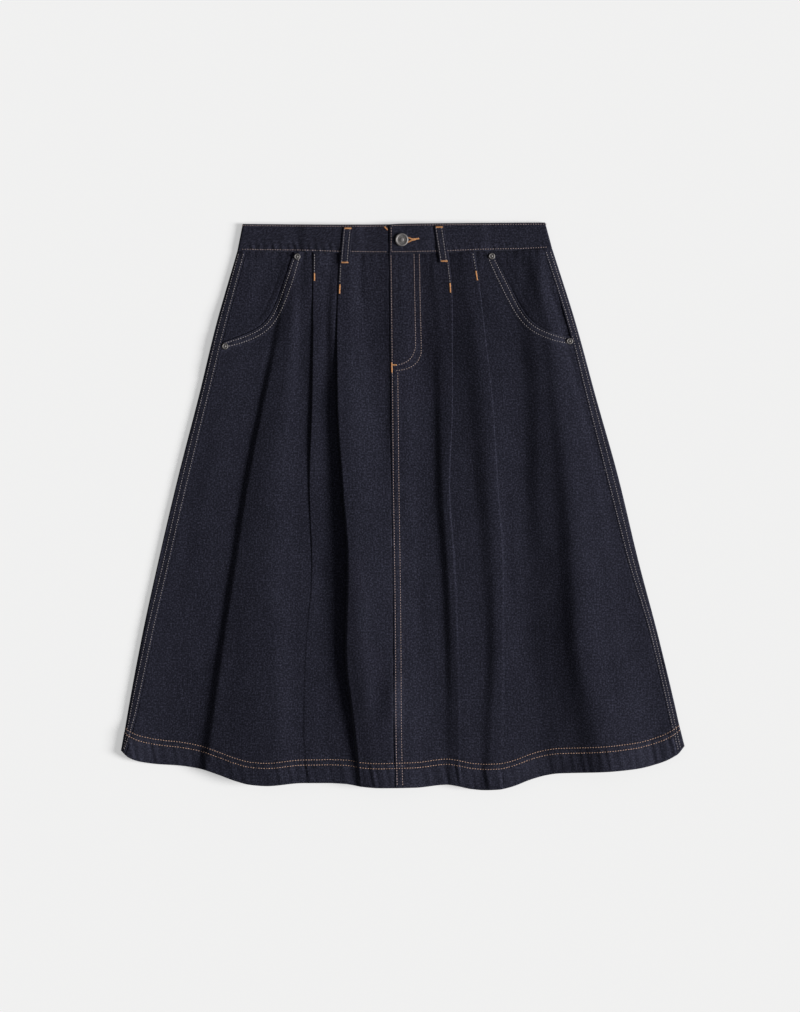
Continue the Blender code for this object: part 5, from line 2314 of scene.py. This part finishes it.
@dataclass
class Rivet:
    """A rivet: a domed washer round a nub, painted bright at the nub and darker as shade lower
    down.
    """

    name: str
    node: str
    place: Point
    radius: float = 3.9
    clear: float = 0.05     # over what it stands on

    def build(self, finishes: Finishes, ground: Callable) -> bpy.types.Object:
        """Make the rivet on the front.

        Args:
            finishes: The skirt's finishes.
            ground: Outer height of what lies below at places (x, y).

        Returns:
            The rivet.
        """
        around = np.linspace(0, 2 * pi, 9)[:-1]
        near = ground(self.place.x + self.radius * np.cos(around),
                      self.place.y + self.radius * np.sin(around))
        seat = float(np.max(near)) + self.clear
        profile = ((0, 1.75), (0.7, 1.7), (1.15, 1.5), (1.35, 1.1), (1.5, 0.75), (1.9, 0.7),
                   (2.2, 0.85), (2.6, 1.2), (3.0, 1.32), (3.4, 1.2), (3.7, 0.85),
                   (self.radius, 0.4), (self.radius, 0.0), (0, 0.0))
        rivet = turned(self.name, profile, (*self.place, seat), 48, finishes.metal)
        return dress(rivet, "aged_metal", self.node)


# ---------------------------------------------------------------------------------------------
# Stage

@dataclass
class Studio:
    """A plain pale floor, a wide soft light from the skirt's left, a pale sky and the camera."""

    floor_size: float = 9.0
    floor_height: float = -0.0003
    distance: float = 8.0
    view_width: float = 0.96
    aim: tuple = (-0.00318, 0.0003, 0.003)
    light_elevation: float = 23.0
    light_turn: float = -7.0
    light_angle: float = 22.0
    light_strength: float = 6.75
    sky_strength: float = 0.20
    floor_tone: float = 0.42
    floor_glow: float = 0.44

    def build(self) -> None:
        """Make the stage."""
        self.floor()
        self.lights()
        self.camera()
        view = bpy.context.scene.view_settings
        view.view_transform = "Standard"
        view.look = "None"

    def floor(self) -> None:
        """The pale ground."""
        ground = bmesh.new()
        lift = Matrix.Translation((0, 0, self.floor_height))
        bmesh.ops.create_grid(ground, x_segments=1, y_segments=1, size=self.floor_size / 2,
                              matrix=lift)
        mesh = mesh_of("pale_floor", ground)
        n = Nodes("pale_paper")
        tone = self.floor_tone
        n.shader.inputs["Emission Color"].default_value = (1.0, 1.0, 1.0, 1.0)
        mesh.materials.append(n.finish(Base_Color=(tone, tone, tone, 1.0), Roughness=1.0,
                                       Specular_IOR_Level=0.0,
                                       Emission_Strength=self.floor_glow))
        in_scene("pale_floor", mesh)

    def lights(self) -> None:
        """A soft light from one side and an even sky."""
        lamp = bpy.data.lights.new("soft_light", "SUN")
        lamp.energy = self.light_strength
        lamp.angle = radians(self.light_angle)
        lamp.color = (1.0, 0.997, 0.99)
        in_scene("soft_light", lamp).rotation_euler = (
            0.0, radians(90 - self.light_elevation), radians(self.light_turn))
        world = bpy.data.worlds.new("pale_sky")
        world.use_nodes = True
        sky = world.node_tree.nodes["Background"]
        sky.inputs["Color"].default_value = (0.99, 0.995, 1.0, 1.0)
        sky.inputs["Strength"].default_value = self.sky_strength
        bpy.context.scene.world = world

    def camera(self) -> None:
        """The camera, straight above."""
        lens = bpy.data.cameras.new("camera")
        lens.sensor_width = 36.0
        lens.sensor_fit = "HORIZONTAL"
        lens.lens = lens.sensor_width * self.distance / self.view_width
        lens.clip_end = 100.0
        thing = in_scene("camera", lens)
        thing.location = Vector(self.aim) + Vector((0, 0, self.distance))
        bpy.context.scene.camera = thing


# ---------------------------------------------------------------------------------------------
# The skirt

RIGHT_COLUMNS = (
    (("sewn", 7), ("brink", 2), ("right_strip", 5),
     ("right_puff", 20), ("right_valley", 16), ("right_brow", 8),
     ("right_crest", 20), ("tuck_valley", 18), ("end", 6)),
    (("flat", 4), ("between_tucks", 10), ("end", 10)),
    (("flat", 4), ("centre_valley", 24), ("centre_ridge", 14),
     ("end", 8)),
)
LEFT_COLUMNS = (
    (("sewn", 7), ("brink", 2), ("left_strip", 5),
     ("left_flank", 22), ("left_crest", 18), ("left_foot", 14),
     ("left_step", 10), ("left_valley", 14), ("end", 12)),
    (("flat", 4), ("left_dip", 16), ("end", 10)),
    (("flat", 4), ("fly_step", 4), ("fly_valley", 8), ("lap", 16),
     ("end", 12)),
)


def skirt_ground(front: FrontMap) -> Callable[[Array, Array], Array]:
    """The outer face of the front and of the band, wherever one asks.

    Args:
        front: The front's top face.

    Returns:
        A function of places (x, y).
    """
    def ground(x: Array, y: Array) -> Array:
        """The outer face at places (x, y)."""
        x, y = np.broadcast_arrays(np.asarray(x, float), np.asarray(y, float))
        return np.where(y >= along(WAIST_LINE, x), Waistband.top(x, y), front.height(x, y))
    return ground


def declare(pieces: dict[str, bpy.types.Object], sewing: list[bpy.types.Object]) -> None:
    """Look up each side's pocket facing and belt loop among the sheets, and gather the thread by
    name; nothing else is done.

    Args:
        pieces: The sheets by name.
        sewing: The pieces of thread.
    """
    by_name = {piece.name: piece for piece in sewing}
    for side in Side:
        pieces[f"{side.label}_pocket_facing"]
        pieces[f"{side.label}_belt_loop"]


def main() -> None:
    """Build the skirt's looks."""
    logging.basicConfig(level=logging.INFO, format="%(name)s: %(message)s")
    Studio().build()
    finishes = Finishes()
    front = FrontMap()
    ground = skirt_ground(front)
    back = BackPanel()
    loops = (BeltLoop(Side.RIGHT, Point(-65.5, 335.5), Point(-69.5, 290.4)),
             BeltLoop(Side.LEFT, Point(43.6, 337.0), Point(50.2, 292.0)))
    made = [back.build(finishes),
            FrontPanel(Side.RIGHT, RIGHT_COLUMNS).build(finishes),
            FrontPanel(Side.LEFT, LEFT_COLUMNS).build(finishes)]
    made += [PocketFacing(side).build(finishes) for side in Side]
    made.append(Waistband().build(finishes))
    made += [loop.build(finishes, ground) for loop in loops]
    sewing = SkirtSewing(front, back, loops).build(finishes, ground)
    WaistButton().build(finishes)
    rivets = (Rivet("right_upper_rivet", "rivet_right_upper", Point(-126.5, 299.5)),
              Rivet("left_upper_rivet", "rivet_left_upper", Point(107, 300)),
              Rivet("right_lower_rivet", "rivet_right_lower", Point(-213, 192)),
              Rivet("left_lower_rivet", "rivet_left_lower", Point(200.4, 198)))
    for rivet in rivets:
        rivet.build(finishes, ground)
    declare({piece.name: piece for piece in made}, sewing)


if __name__ == "__main__":
    main()
